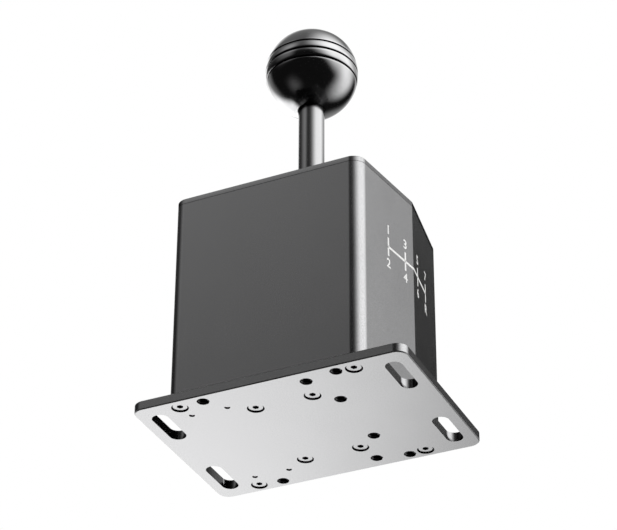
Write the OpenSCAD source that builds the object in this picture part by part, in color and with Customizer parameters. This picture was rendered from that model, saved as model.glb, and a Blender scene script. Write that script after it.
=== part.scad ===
// H-pattern gear shifter for a driving simulator. Millimetres, +Z up.
// The origin is the centre of the base plate's bottom face, and the prow of the housing points to -Y.

/* [Base plate] */
// How far the base plate stands out beyond each side of the housing
plate_ledge = 0.5; // [0.3:0.1:6]
// Length of the base plate
plate_l = 143.8; // [143.8:0.2:170]
// Thickness of the base plate
plate_t = 5; // [4.6:0.1:7]
// Corner radius of the base plate
plate_corner_r = 6; // [3:0.5:7]
// Chamfer round both faces of the base plate
plate_chamfer = 0.5; // [0.2:0.1:1]
// Width of the four mounting slots
slot_w = 8.6; // [6:0.1:8.8]
// Overall length of the four mounting slots
slot_l = 26.6; // [16:0.2:32]
// Distance between the mounting slots across the plate
slot_spacing_x = 58; // [50:0.5:60]
// Distance between the mounting slots along the plate
slot_spacing_y = 123.4; // [122:0.2:125]

/* [Threads under the plate] */
// Minor radius of the threaded holes
thread_r = 2.5; // [1.6:0.1:2.5]
// Countersink depth at both mouths of a threaded hole
thread_mouth = 0.65; // [0.2:0.05:0.7]
// Distance of the outer threads in from the housing's sides
outer_thread_inset = 5; // [5:0.1:6]
// Distance between the outer threads along the plate
outer_thread_y = 70; // [66:0.5:70]
// Distance of the middle threads in from the housing's sides
middle_thread_inset = 8; // [7:0.1:10]
// Distance of the middle threads ahead of the plate's centre
middle_thread_y = 18.2; // [14:0.1:22]
// Distance between the inner threads across the plate
inner_thread_x = 40; // [36:0.5:50]
// Distance of the inner threads ahead of the plate's centre
inner_thread_y = 26.2; // [26.2:0.1:32]

/* [Plate screws] */
// Radius of the plate and cover screws' shanks
screw_r = 1.95; // [1.5:0.05:2]
// Radius of a plate screw's head
head_r = 3.85; // [3.2:0.05:3.9]
// Radius of the counterbore round a plate screw's head
counterbore_r = 4.3; // [4.1:0.05:4.6]
// Depth of a plate screw's head below the plate's face
head_recess = 0.65; // [0.3:0.05:0.9]
// Height of a plate screw's head
head_h = 2.6; // [2.2:0.1:2.9]
// Width across the flats of a plate screw's socket
hex_w = 2.9; // [2:0.1:3]
// Length of a plate screw's shank
plate_screw_l = 9; // [6:0.5:9.5]

/* [Housing] */
// Width of the housing
housing_w = 100; // [93:0.5:108]
// Distance of the rear face behind the plate's centre
housing_rear = 52.6; // [51:0.2:54]
// Distance of the front shoulders ahead of the plate's centre
housing_front = 49.9; // [49:0.1:50.5]
// How far the prow stands out beyond the shoulders
prow_depth = 7.5; // [4:0.1:9]
// Height of the housing's wall
housing_h = 110; // [108:0.5:118]
// Thickness of the housing's wall
wall = 2.5; // [1.6:0.1:2.5]
// Radius of the four upright corners
corner_r = 6; // [4:0.5:7]
// Radius of the screw posts inside the corners
post_r = 6; // [4:0.1:6.1]
// Distance of the corner screws in from the sides
post_inset_side = 6; // [5.5:0.1:7]
// Distance of the rear corner screws in from the rear face
post_inset_rear = 4.6; // [4.4:0.1:7]
// Distance of the front corner screws behind the shoulders
post_inset_front = 6.1; // [5.5:0.1:6.3]

/* [Cover and gate] */
// Thickness of the top cover
cover_t = 3; // [2.6:0.1:4]
// Radius of the countersunk heads in the cover's corners
cover_head_r = 3.9; // [3.2:0.1:4]
// Thickness of the steel gate plate
gate_t = 3; // [2:0.1:4]
// Thickness of the damper sheet under the gate
damper_t = 1.5; // [0.8:0.1:2]
// Clearance between the lever's neck and a gate slot
gate_clear = 0.7; // [0.5:0.05:0.9]
// Clearance between the lever's neck and a damper slot
damper_clear = 0.6; // [0.4:0.05:0.9]
// Clearance between the lever's neck and the cover's window
window_clear = 1.5; // [1:0.1:2.5]
// Width of the gate plate's rim round the window
gate_rim = 8; // [7:0.2:9]
// Corner radius of the cover's window
window_corner_r = 4; // [2:0.5:6]
// Radius of the gate screws' countersunk heads
gate_head_r = 2.8; // [2.4:0.1:3]
// Radius of the gate screws' shanks
gate_screw_r = 1.45; // [1:0.05:1.6]

/* [Lever motion] */
// Height of the crossing point of the two lever axes
pivot_z = 42; // [41:0.5:44]
// Distance of the lever ahead of the plate's centre
lever_ahead = 0.8; // [0.4:0.1:1.2]
// Angle between two neighbouring gear columns
column_angle = 10; // [8:0.5:10]
// Angle of the lever from neutral into a gear
shift_angle = 11; // [8:0.5:12]

/* [Lever rod] */
// Radius of the visible rod
rod_r = 7; // [6:0.1:8]
// Radius of the neck that runs in the gate
neck_r = 3.5; // [3:0.1:3.6]
// Radius of the rod between the hub and the neck
stem_r = 6; // [5.6:0.1:7]
// Radius of the rod where it sits in the hub
tail_r = 5; // [4.2:0.1:5]
// Length of the neck below the gate's underside
neck_below = 10; // [8:0.5:14]
// Length of the neck above the cover
neck_above = 12; // [12:0.5:16]
// Height of the cone between the neck and the visible rod
cone_h = 16; // [10:0.5:20]
// Radius of the threaded stud in the knob
stud_r = 4.95; // [4:0.05:5]
// Height of the stud above the rod's shoulder
stud_h = 20; // [12:0.5:22]

/* [Knob] */
// Radius of the ball
ball_r = 25; // [22:0.5:27]
// Height of the ball's centre above the plate's bottom face
ball_z = 216.5; // [205:0.5:230]
// Depth of the rod's seat above the lowest point of the ball
seat_depth = 3.5; // [2:0.1:5]
// Distance between two neighbouring grooves round the ball
groove_pitch = 5.4; // [4:0.1:6]
// Width of a groove round the ball
groove_w = 1.1; // [0.6:0.1:1.6]
// Depth of a groove round the ball
groove_depth = 0.9; // [0.4:0.1:1.2]
// Radius of the disc in the top of the ball
cap_r = 11; // [8:0.2:13]
// Thickness of that disc at its rim
cap_rim_h = 1.2; // [0.8:0.1:2]
// Wall of the knob's threaded insert
insert_wall = 3; // [2:0.1:4]
// Height of the knob's threaded insert
insert_h = 24; // [21:0.5:24]

/* [Cradle and hub] */
// Half width of the hub block across the shifter
hub_half_w = 12.7; // [12:0.1:14]
// Half length of the hub block along the shifter
hub_half_l = 8; // [7:0.1:8.4]
// Height of the hub block above the pivot
hub_up = 13; // [12.2:0.2:14]
// Depth of the hub block below the pivot
hub_down = 8; // [5:0.2:8.5]
// Running gap at the sides of the hub and the cradle
side_gap = 0.3; // [0.2:0.05:0.4]
// Thickness of the cradle's side arms
arm_t = 7; // [6:0.2:8]
// Half length of the space inside the cradle
cradle_inner_l = 12.4; // [11.8:0.1:12.6]
// Thickness of the cradle's front and rear walls
cradle_wall = 3.3; // [2.6:0.1:3.4]
// Radius of the pins between the hub and the cradle
trunnion_r = 3; // [2.5:0.1:3.4]
// Wall of the cradle's bushes
bush_wall = 1.5; // [1:0.1:1.8]
// Radius of the axles between the cradle and the pedestals
axle_r = 4; // [3:0.1:4.4]
// Distance of the detent plungers above the pivot
plunger_up = 9; // [8.6:0.1:9.4]
// Radius of a detent plunger's threaded body
plunger_r = 2.5; // [2:0.1:2.8]
// Radius of a detent plunger's nose
nose_r = 1.2; // [0.8:0.1:1.4]
// Running clearance of a shaft in its bore
shaft_clear = 0.03; // [0.02:0.01:0.08]
// Clearance of a piece that is fixed in a bore
fixed_clear = 0.03; // [0.01:0.01:0.08]

/* [Centring springs] */
// Distance of each centring spring from the lever's axis
spring_x = 26; // [25.5:0.5:27]
// Radius of the coil at the middle of the wire
spring_coil_r = 5.2; // [4.6:0.1:5.4]
// Radius of the spring wire
spring_wire_r = 0.7; // [0.4:0.05:0.8]
// Number of turns of a centring spring
spring_turns = 6; // [4:1:8]
// Thickness of the cup's wall round the spring's foot
cup_wall = 1.6; // [1.2:0.1:1.8]
// Height of the cup round the spring's foot
cup_h = 4; // [2:0.5:5]
// Thickness of the bridge that carries a spring
bridge_t = 3; // [2:0.1:3.4]
// Half width of the bridge that carries a spring
bridge_half_w = 7.9; // [7.6:0.1:8.4]
// Radius of the guide stub inside the spring's top
stub_r = 3.4; // [2.4:0.1:3.6]
// Length of the guide stub inside the spring's top
stub_h = 4; // [2:0.5:4.5]

/* [Pedestals and bearings] */
// Distance between the pedestal screws across the plate
pedestal_screw_x = 57; // [55:0.5:58]
// Distance between the pedestal screws along the plate
pedestal_screw_y = 30.2; // [29.4:0.1:31]
// Distance of the pedestal screws' centre ahead of the plate's centre
pedestal_screw_ahead = 0.2; // [0:0.1:0.8]
// Height of a pedestal's foot above the plate
foot_h = 8; // [7.5:0.1:8.5]
// Half width of a pedestal's foot
foot_half_w = 34; // [33.6:0.2:35]
// Distance of a pedestal's foot from the lever's axis
foot_inner = 10; // [9:0.1:10.4]
// Thickness of a pedestal's upright
upright_t = 6; // [5:0.1:6.1]
// Half width of a pedestal's upright at its foot
upright_half_w = 16; // [15:0.5:17]
// Wall of the bearing between its bore and its rim
bearing_wall = 4; // [3:0.1:4.5]
// Width of a bearing
bearing_w = 5; // [3:0.1:5]
// Material round the bearing's seat
seat_wall = 6; // [4:0.2:7]
// Height of the cable arch through the rear pedestal
arch_h = 9; // [8.5:0.5:11]
// Half width of the cable arch through the rear pedestal
arch_half_w = 6; // [5:0.2:8]
// Thickness of the caps that hold the bearings
bearing_cap_t = 1.5; // [1:0.1:1.6]

/* [Position sensor] */
// Thickness of both circuit boards
board_t = 1.6; // [1:0.1:1.6]
// Half width of the sensor board
sensor_board_half_w = 12; // [12:0.2:15]
// Edge length of the sensor chip
chip_w = 5; // [3:0.1:7]
// Height of the sensor chip
chip_h = 1; // [0.6:0.1:1.4]
// Radius of the magnet at the lever's foot
magnet_r = 4; // [3:0.1:4.4]
// Height of that magnet
magnet_h = 5; // [3:0.1:5]
// Depth of the lever's foot below the pivot
foot_reach = 22; // [21:0.2:22]
// Wall of the holder round the lever's foot
holder_wall = 1.5; // [1:0.1:1.8]

/* [Main board and port] */
// Gap between the main board and the screw posts beside it
board_post_gap = 0.5; // [0.4:0.1:1.5]
// Distance of the board's standoffs in from its sides
standoff_inset = 2.5; // [2.5:0.1:5]
// Distance of the rear standoffs behind the plate's centre
standoff_rear = 46.1; // [45.5:0.1:46.4]
// Distance of the front standoffs behind the plate's centre
standoff_front = 27; // [26.6:0.1:29]
// Height of the standoffs above the plate
standoff_h = 5; // [4:0.1:5.5]
// Radius of a standoff
standoff_r = 2.5; // [2:0.1:2.6]
// Radius of a standoff's shank in the plate
standoff_shank_r = 1.35; // [1:0.05:1.4]
// Width of the port
port_w = 13.2; // [12.4:0.1:15]
// Height of the port
port_h = 11.5; // [11:0.1:13]
// Length of the port
port_l = 18; // [16:0.2:19]
// Width of the port's socket
socket_w = 9.8; // [9:0.1:10.6]
// Height of the port's socket
socket_h = 6.8; // [6:0.1:7.2]
// Depth of the port's socket
socket_depth = 13; // [11:0.2:14]
// Gap round the port in the rear wall
port_gap = 0.3; // [0.2:0.05:0.6]

/* [Hidden] */
$fn = 64;
eps = 0.01;

// Heights of the stack
housing_top = plate_t + housing_h;
cover_top = housing_top + cover_t;
gate_bottom = housing_top - gate_t;
damper_bottom = gate_bottom - damper_t;
pivot_y = -lever_ahead;

// Plan of the housing, anticlockwise from the right rear corner, with the radius at each point
house_points = [
    [housing_w / 2, housing_rear],
    [-housing_w / 2, housing_rear],
    [-housing_w / 2, -housing_front],
    [0, -housing_front - prow_depth],
    [housing_w / 2, -housing_front]
];
house_radii = [corner_r, corner_r, corner_r, 0, corner_r];
cavity_r = max(corner_r - wall, 0.5);
cavity_radii = [cavity_r, cavity_r, cavity_r, 0, cavity_r];

// Plate and screw places in it
plate_w = housing_w + 2 * plate_ledge;
outer_thread_x = housing_w / 2 - outer_thread_inset;
middle_thread_x = housing_w / 2 - middle_thread_inset;
post_x = housing_w / 2 - post_inset_side;
main_board_half_w = post_x - post_r - board_post_gap;
standoff_x = main_board_half_w - standoff_inset;
post_places = [
    [post_x, housing_rear - post_inset_rear], [-post_x, housing_rear - post_inset_rear],
    [post_x, post_inset_front - housing_front], [-post_x, post_inset_front - housing_front]
];
pedestal_front_y = -pedestal_screw_ahead - pedestal_screw_y / 2;
pedestal_rear_y = -pedestal_screw_ahead + pedestal_screw_y / 2;
pedestal_places = [
    for (x = [-pedestal_screw_x / 2, pedestal_screw_x / 2])
        for (y = [pedestal_front_y, pedestal_rear_y]) [x, y]
];
thread_places = [
    for (side = [-1, 1]) each [
        [side * outer_thread_x, outer_thread_y / 2],
        [side * outer_thread_x, -outer_thread_y / 2],
        [side * middle_thread_x, -middle_thread_y],
        [side * inner_thread_x / 2, -inner_thread_y]
    ]
];
standoff_places = [
    for (x = [-standoff_x, standoff_x]) for (y = [standoff_front, standoff_rear]) [x, y]
];
screw_hole_r = screw_r + fixed_clear;
plate_hole_r = screw_r + 0.2;
head_seat = head_recess + head_h;
plate_screw_top = head_seat + plate_screw_l;
cover_screw_l = 12;
standoff_shank_recess = 0.4;
cover_hex_w = hex_w * 0.85;
gate_hex_w = hex_w * 0.65;
small_hex_w = 1.5;

// Lever motion and gate
columns = [-1, 0, 1, 2];
left_tilt = -column_angle;
right_tilt = 2 * column_angle;
function reach_x(z, tilt) = (z - pivot_z) * tan(tilt);
function reach_y(z, tilt) = (z - pivot_z) / cos(tilt) * tan(shift_angle);
window_left = reach_x(cover_top, left_tilt) - neck_r / cos(left_tilt) - window_clear;
window_right = reach_x(cover_top, right_tilt) + neck_r / cos(right_tilt) + window_clear;
window_half_l = reach_y(cover_top, right_tilt) + neck_r / cos(shift_angle) + window_clear;
window_x = (window_left + window_right) / 2;
window_w = window_right - window_left;
gate_screw_places = [
    for (side = [-1, 1]) for (end = [-1, 1])
        [window_x + side * (window_w / 2 + gate_rim / 2), pivot_y + end * window_half_l * 2 / 3]
];
slot_overrun = 20;

// Rod stations
tail_bottom = pivot_z - foot_reach + magnet_h + 1;
hub_top = pivot_z + hub_up;
hub_bottom = pivot_z - hub_down;
neck_bottom = damper_bottom - neck_below;
neck_top = cover_top + neck_above;
cone_top = neck_top + cone_h;
ball_seat = ball_z - ball_r + seat_depth;
stem_taper = 4;

// Knob
cap_floor = ball_z + sqrt(ball_r * ball_r - cap_r * cap_r) - cap_rim_h;
insert_r = stud_r + insert_wall;

// Cradle
cradle_inner_w = hub_half_w + side_gap;
cradle_outer_w = cradle_inner_w + arm_t;
cradle_outer_l = cradle_inner_l + cradle_wall;
cradle_top = hub_top - 1;
cradle_bottom = hub_bottom;
bush_r = trunnion_r + shaft_clear + bush_wall;
spring_arm_up = 2;
spring_arm_down = 4;
spring_arm_half_l = 7;
spring_arm_end = spring_x + spring_coil_r + 1;
spring_top = pivot_z - spring_arm_down;

// Pedestals
upright_inner = cradle_outer_l + 0.5;
upright_outer = upright_inner + upright_t;
foot_top = plate_t + foot_h;
bearing_r = axle_r + bearing_wall;
bearing_inner = upright_outer - bearing_w;
bearing_cap_r = bearing_r + 1.5;
cap_screw_r = 1.2;
cap_screw_head_r = 2;
cap_screw_head_h = 1.4;
cap_screw_out = bearing_r + 3.4;
cap_ear_r = 3;
bridge_top = foot_top + bridge_t;
bridge_screw_y = (upright_inner + upright_outer) / 2;
spring_h = spring_top - bridge_top;
small_screw_l = 5;

// Boards
sensor_board_half_l = upright_inner - 0.5;
sensor_board_top = foot_top + board_t;
sensor_screw_x = sensor_board_half_w - 3;
sensor_screw_y = sensor_board_half_l - 2.4;
main_board_bottom = plate_t + standoff_h;
main_board_top = main_board_bottom + board_t;
main_board_front = standoff_front - 3;
main_board_rear = housing_rear - wall - 0.5;
controller_w = 2 * chip_w;
controller_x = standoff_x - 18;
controller_y = standoff_front + 5;
port_front = housing_rear - 0.4;
socket_z = main_board_top + port_h / 2 - 0.6;
contact_count = 6;
contact_pitch = 1.02;
cable_z = sensor_board_top + 1.4;
cable_half_w = 4;
cable_t = 0.9;
header_half_w = 5;
header_l = 5;
front_header_y = pivot_y + sensor_board_half_l - header_l;
rear_header_y = main_board_front + 2;
header_top = cable_z + cable_t + 1;

black = [0.13, 0.13, 0.14];
graphite = [0.25, 0.25, 0.27];
steel = [0.66, 0.67, 0.69];
brass = [0.75, 0.6, 0.3];
board_green = [0.1, 0.32, 0.2];
polymer = [0.85, 0.84, 0.8];

// Plan shapes
function unit(v) = v / norm(v);
function left_of(v) = [-v[1], v[0]];
function before(p, i) = p[(i + len(p) - 1) % len(p)];
function after(p, i) = p[(i + 1) % len(p)];
function inset(p, d) = [
    for (i = [0 : len(p) - 1])
        let (n1 = left_of(unit(p[i] - before(p, i))), n2 = left_of(unit(after(p, i) - p[i])))
            p[i] + (n1 + n2) * d / (1 + n1 * n2)
];
// Distance from a corner to where its arc of radius r starts
function tangent_length(p, i, r) =
    let (u = unit(p[i] - before(p, i)), v = unit(after(p, i) - p[i]))
        r * norm(v - u) / norm(v + u);

module rounded_polygon(p, radii) {
    polygon([
        for (i = [0 : len(p) - 1])
            let (
                u = unit(p[i] - before(p, i)),
                v = unit(after(p, i) - p[i]),
                t = tangent_length(p, i, radii[i])
            )
            each (radii[i] > 0 ? [p[i] - u * t, p[i] + v * t] : [p[i]])
    ]);
    for (i = [0 : len(p) - 1]) {
        if (radii[i] > 0) {
            u = unit(p[i] - before(p, i));
            t = tangent_length(p, i, radii[i]);
            translate(p[i] - u * t + left_of(u) * radii[i]) circle(r = radii[i]);
        }
    }
}

module rounded_rect(w, l, r) {
    rounded_polygon([[w / 2, l / 2], [-w / 2, l / 2], [-w / 2, -l / 2], [w / 2, -l / 2]], [r, r, r, r]);
}

// Slab with round corners and both faces chamfered
module chamfered_slab(w, l, t, r, c) {
    rotate([90, 0, 0]) linear_extrude(height = l - 2 * r, center = true) slab_section(w, t, c);
    rotate([90, 0, 90]) linear_extrude(height = w - 2 * r, center = true) slab_section(l, t, c);
    for (x = [-1, 1]) {
        for (y = [-1, 1]) {
            translate([x * (w / 2 - r), y * (l / 2 - r), 0])
                rotate_extrude()
                    polygon([[0, 0], [r - c, 0], [r, c], [r, t - c], [r - c, t], [0, t]]);
        }
    }
}

module slab_section(w, t, c) {
    polygon([
        [-w / 2 + c, 0], [w / 2 - c, 0], [w / 2, c], [w / 2, t - c],
        [w / 2 - c, t], [-w / 2 + c, t], [-w / 2, t - c], [-w / 2, c]
    ]);
}

// Upright box given by its lowest and highest corners
module block(low, high) {
    translate(low) cube(high - low);
}

// Socket screw whose head's seat is at z 0, with the shank upwards
module socket_screw(r, l, cap_radius, cap_height, hex) {
    difference() {
        union() {
            cylinder(r = r, h = l);
            translate([0, 0, -cap_height]) cylinder(r = cap_radius, h = cap_height);
        }
        translate([0, 0, -cap_height - eps])
            cylinder(r = hex / sqrt(3), h = cap_height * 0.65 + eps, $fn = 6);
    }
}

module small_screw(l) {
    socket_screw(cap_screw_r, l, cap_screw_head_r, cap_screw_head_h, small_hex_w);
}

// Countersunk screw with its top face at z 0, with the shank downwards
module flat_screw(r, l, top_r, hex) {
    difference() {
        union() {
            translate([0, 0, -l]) cylinder(r = r, h = l);
            translate([0, 0, r - top_r]) cylinder(r1 = r, r2 = top_r, h = top_r - r);
        }
        translate([0, 0, -1.3]) cylinder(r = hex / sqrt(3), h = 1.3 + eps, $fn = 6);
    }
}

// Room for a countersunk screw, open upwards
module flat_screw_hole(r, l, top_r) {
    translate([0, 0, -l]) cylinder(r = r + fixed_clear, h = l + eps);
    translate([0, 0, r - top_r - fixed_clear])
        cylinder(r1 = r, r2 = top_r + fixed_clear + eps, h = top_r - r + fixed_clear + eps);
}

module at(places, z) {
    for (p = places) translate([p[0], p[1], z]) children();
}

// Base
module base_plate() {
    color(black) difference() {
        chamfered_slab(plate_w, plate_l, plate_t, plate_corner_r, plate_chamfer);
        for (x = [-0.5, 0.5]) {
            for (y = [-0.5, 0.5]) {
                translate([x * slot_spacing_x, y * slot_spacing_y, 0]) mounting_slot();
            }
        }
        at(thread_places, 0) threaded_hole();
        at(concat(post_places, pedestal_places), 0) plate_screw_hole();
        at(standoff_places, -eps) cylinder(r = standoff_shank_r, h = plate_t + 2 * eps);
    }
}

module mounting_slot() {
    half = slot_l / 2 - slot_w / 2;
    block([-half, -slot_w / 2, -eps], [half, slot_w / 2, plate_t + eps]);
    for (x = [-half, half]) translate([x, 0, -eps]) cylinder(d = slot_w, h = plate_t + 2 * eps);
}

module threaded_hole() {
    translate([0, 0, -eps]) cylinder(r = thread_r, h = plate_t + 2 * eps);
    translate([0, 0, -eps])
        cylinder(r1 = thread_r + thread_mouth + eps, r2 = thread_r, h = thread_mouth + eps);
    translate([0, 0, plate_t - thread_mouth])
        cylinder(r1 = thread_r, r2 = thread_r + thread_mouth + eps, h = thread_mouth + eps);
}

module plate_screw_hole() {
    translate([0, 0, -eps]) cylinder(r = plate_hole_r, h = plate_t + 2 * eps);
    translate([0, 0, -eps]) cylinder(r = counterbore_r, h = head_seat + eps);
}

module base_screws() {
    color(graphite) at(concat(post_places, pedestal_places), head_seat)
        socket_screw(screw_r, plate_screw_l, head_r, head_h, hex_w);
}

// Housing
module housing_plan(z0, z1) {
    translate([0, 0, z0]) linear_extrude(height = z1 - z0) rounded_polygon(house_points, house_radii);
}

module housing() {
    color(black) difference() {
        housing_plan(plate_t, housing_top);
        difference() {
            translate([0, 0, plate_t - eps])
                linear_extrude(height = housing_h + 2 * eps)
                    rounded_polygon(inset(house_points, wall), cavity_radii);
            at(post_places, plate_t - 1) cylinder(r = post_r, h = housing_h + 2);
        }
        at(post_places, plate_t - eps)
            cylinder(r = screw_hole_r, h = plate_screw_top - plate_t + 1);
        at(post_places, housing_top - cover_screw_l)
            cylinder(r = screw_hole_r, h = cover_screw_l + eps);
        block(
            [-port_w / 2 - port_gap, housing_rear - wall - 1, main_board_top - port_gap],
            [port_w / 2 + port_gap, housing_rear + 1, main_board_top + port_h + port_gap]
        );
    }
}

// Cover and gate
module top_cover() {
    color(black) difference() {
        housing_plan(housing_top, cover_top);
        translate([window_x, pivot_y, housing_top - eps])
            linear_extrude(height = cover_t + 2 * eps)
                rounded_rect(window_w, 2 * window_half_l, window_corner_r);
        at(post_places, cover_top) flat_screw_hole(screw_r, cover_t + 1, cover_head_r);
        at(gate_screw_places, cover_top) flat_screw_hole(gate_screw_r, cover_t + 1, gate_head_r);
    }
}

module cover_screws() {
    color(graphite) at(post_places, cover_top)
        flat_screw(screw_r, cover_t + cover_screw_l - 2, cover_head_r, cover_hex_w);
}

// Space that the neck sweeps through a plate: four tilted slots and the neutral channel
module gate_slots(z0, z1, clear) {
    half_w = neck_r + clear;
    for (c = columns) {
        tilt = c * column_angle;
        end = reach_y(z1, tilt);
        translate([0, pivot_y, pivot_z]) rotate([0, tilt, 0]) {
            low = z0 - pivot_z - slot_overrun;
            high = z1 - pivot_z + slot_overrun;
            block([-half_w, -end, low], [half_w, end, high]);
            for (y = [-end, end]) {
                translate([0, y, low]) cylinder(r = half_w, h = high - low);
            }
        }
    }
    block(
        [reach_x(z0, left_tilt), pivot_y - half_w, z0 - 1],
        [reach_x(z0, right_tilt), pivot_y + half_w, z1 + 1]
    );
}

module gate_blank(z0, z1) {
    translate([window_x, pivot_y, z0])
        linear_extrude(height = z1 - z0)
            rounded_rect(window_w + 2 * gate_rim, 2 * window_half_l + 2 * gate_rim, window_corner_r);
}

module gate_plate() {
    color(steel) difference() {
        gate_blank(gate_bottom, housing_top);
        gate_slots(gate_bottom, housing_top, gate_clear);
        at(gate_screw_places, gate_bottom - eps)
            cylinder(r = gate_screw_r + fixed_clear, h = gate_t + 2 * eps);
    }
}

module gate_damper() {
    color(polymer) difference() {
        gate_blank(damper_bottom, gate_bottom);
        gate_slots(damper_bottom, gate_bottom, damper_clear);
        at(gate_screw_places, damper_bottom - eps)
            cylinder(r = gate_screw_r + fixed_clear, h = damper_t + 2 * eps);
    }
}

module gate_screws() {
    color(graphite) at(gate_screw_places, cover_top)
        flat_screw(gate_screw_r, cover_t + gate_t + damper_t, gate_head_r, gate_hex_w);
}

// Pedestals. The front one stands at -Y of the lever and the rear one is its mirror image.
module pedestal(screw_y, cable_arch) {
    difference() {
        union() {
            block([-foot_half_w, foot_inner, plate_t], [foot_half_w, upright_outer, foot_top]);
            translate([0, upright_outer, 0]) rotate([90, 0, 0]) linear_extrude(height = upright_t) {
                polygon([
                    [-upright_half_w, foot_top - 1], [upright_half_w, foot_top - 1],
                    [bearing_r + seat_wall, pivot_z], [-bearing_r - seat_wall, pivot_z]
                ]);
                translate([0, pivot_z]) circle(r = bearing_r + seat_wall);
            }
        }
        translate([0, upright_outer + eps, pivot_z]) rotate([90, 0, 0]) {
            cylinder(r = bearing_r + fixed_clear, h = bearing_w + eps);
            cylinder(r = bearing_r - 1.5, h = upright_t + 2 * eps);
        }
        for (x = [-0.5, 0.5]) {
            translate([x * pedestal_screw_x, screw_y, plate_t - eps])
                cylinder(r = screw_hole_r, h = min(plate_screw_top + 0.5, foot_top - 0.2) - plate_t);
            translate([2 * x * spring_x, bridge_screw_y, foot_top - small_screw_l])
                cylinder(r = gate_screw_r + fixed_clear, h = small_screw_l + eps);
            translate([2 * x * sensor_screw_x, sensor_screw_y, foot_top - small_screw_l])
                cylinder(r = cap_screw_r + fixed_clear, h = small_screw_l + eps);
            translate([2 * x * cap_screw_out, upright_outer + eps, pivot_z])
                rotate([90, 0, 0])
                    cylinder(r = cap_screw_r + fixed_clear, h = small_screw_l - bearing_cap_t + 1);
        }
        if (cable_arch) {
            block(
                [-arch_half_w, upright_inner - 1, foot_top],
                [arch_half_w, upright_outer + 1, foot_top + arch_h]
            );
        }
    }
}

module front_pedestal() {
    color(graphite) translate([0, pivot_y, 0]) mirror([0, 1, 0])
        pedestal(pivot_y - pedestal_front_y, false);
}

module rear_pedestal() {
    color(graphite) translate([0, pivot_y, 0]) pedestal(pedestal_rear_y - pivot_y, true);
}

// Sealed ball bearing with its shield grooves, at the rear upright
module bearing() {
    translate([0, upright_outer, pivot_z]) rotate([90, 0, 0]) rotate_extrude() difference() {
        translate([axle_r + shaft_clear, 0]) square([bearing_wall - shaft_clear, bearing_w]);
        for (z = [-eps, bearing_w - 0.4]) {
            translate([axle_r + bearing_wall * 0.3, z]) square([bearing_wall * 0.4, 0.4 + eps]);
        }
    }
}

module front_bearing() {
    color(steel) translate([0, pivot_y, 0]) mirror([0, 1, 0]) bearing();
}

module rear_bearing() {
    color(steel) translate([0, pivot_y, 0]) bearing();
}

// Cap that holds a bearing in its seat
module bearing_cap() {
    translate([0, upright_outer + bearing_cap_t, pivot_z]) rotate([90, 0, 0]) difference() {
        union() {
            cylinder(r = bearing_cap_r, h = bearing_cap_t);
            block([-cap_screw_out, -cap_ear_r, 0], [cap_screw_out, cap_ear_r, bearing_cap_t]);
            for (x = [-cap_screw_out, cap_screw_out])
                translate([x, 0, 0]) cylinder(r = cap_ear_r, h = bearing_cap_t);
        }
        translate([0, 0, -eps]) cylinder(r = axle_r + 1, h = bearing_cap_t + 2 * eps);
        for (x = [-cap_screw_out, cap_screw_out])
            translate([x, 0, -eps]) cylinder(r = cap_screw_r + fixed_clear, h = bearing_cap_t + 2 * eps);
    }
}

module front_bearing_cap() {
    color(black) translate([0, pivot_y, 0]) mirror([0, 1, 0]) bearing_cap();
}

module rear_bearing_cap() {
    color(black) translate([0, pivot_y, 0]) bearing_cap();
}

module bearing_cap_screws() {
    color(steel) for (x = [-cap_screw_out, cap_screw_out]) {
        for (side = [-1, 1]) {
            translate([x, pivot_y + side * (upright_outer + bearing_cap_t), pivot_z])
                rotate([side * 90, 0, 0]) small_screw(small_screw_l);
        }
    }
}

// Spring bridges and centring springs
module spring_bridge(side) {
    difference() {
        union() {
            block(
                [side * spring_x - bridge_half_w, pivot_y - upright_outer, foot_top],
                [side * spring_x + bridge_half_w, pivot_y + upright_outer, bridge_top]
            );
            translate([side * spring_x, pivot_y, bridge_top - eps])
                cylinder(r = spring_coil_r + spring_wire_r + 0.4 + cup_wall, h = cup_h + eps);
        }
        translate([side * spring_x, pivot_y, bridge_top])
            cylinder(r = spring_coil_r + spring_wire_r + 0.4, h = cup_h + eps);
        for (y = [-bridge_screw_y, bridge_screw_y])
            translate([side * spring_x, pivot_y + y, foot_top - eps])
                cylinder(r = gate_screw_r + 0.15, h = bridge_t + 2 * eps);
    }
}

module left_spring_bridge() {
    color(graphite) spring_bridge(-1);
}

module right_spring_bridge() {
    color(graphite) spring_bridge(1);
}

module bridge_screws() {
    color(steel) for (x = [-spring_x, spring_x]) {
        for (y = [-bridge_screw_y, bridge_screw_y]) {
            translate([x, pivot_y + y, bridge_top]) rotate([180, 0, 0])
                socket_screw(gate_screw_r, bridge_t + small_screw_l - 0.5, gate_head_r, 2, gate_hex_w);
        }
    }
}

// Middle line of a spring's wire, from its foot to its top, with both ends upright
spring_steps = 8 * spring_turns;
spring_end = 2 * spring_wire_r;
function coil_point(i) =
    let (a = 360 * i / 8)
        [
            spring_coil_r * cos(a), spring_coil_r * sin(a),
            spring_end + (spring_h - 2 * spring_end) * i / spring_steps
        ];
spring_line = concat(
    [[spring_coil_r, 0, 0]],
    [for (i = [0 : spring_steps]) coil_point(i)],
    [[spring_coil_r, 0, spring_h]]
);
spring_gap = min([
    for (i = [0 : spring_steps - 5]) for (j = [i + 5 : spring_steps])
        norm(coil_point(i) - coil_point(j)) - 2 * spring_wire_r
]);
echo(str("Centring spring, least gap of the wire to itself in mm: ", spring_gap));

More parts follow.
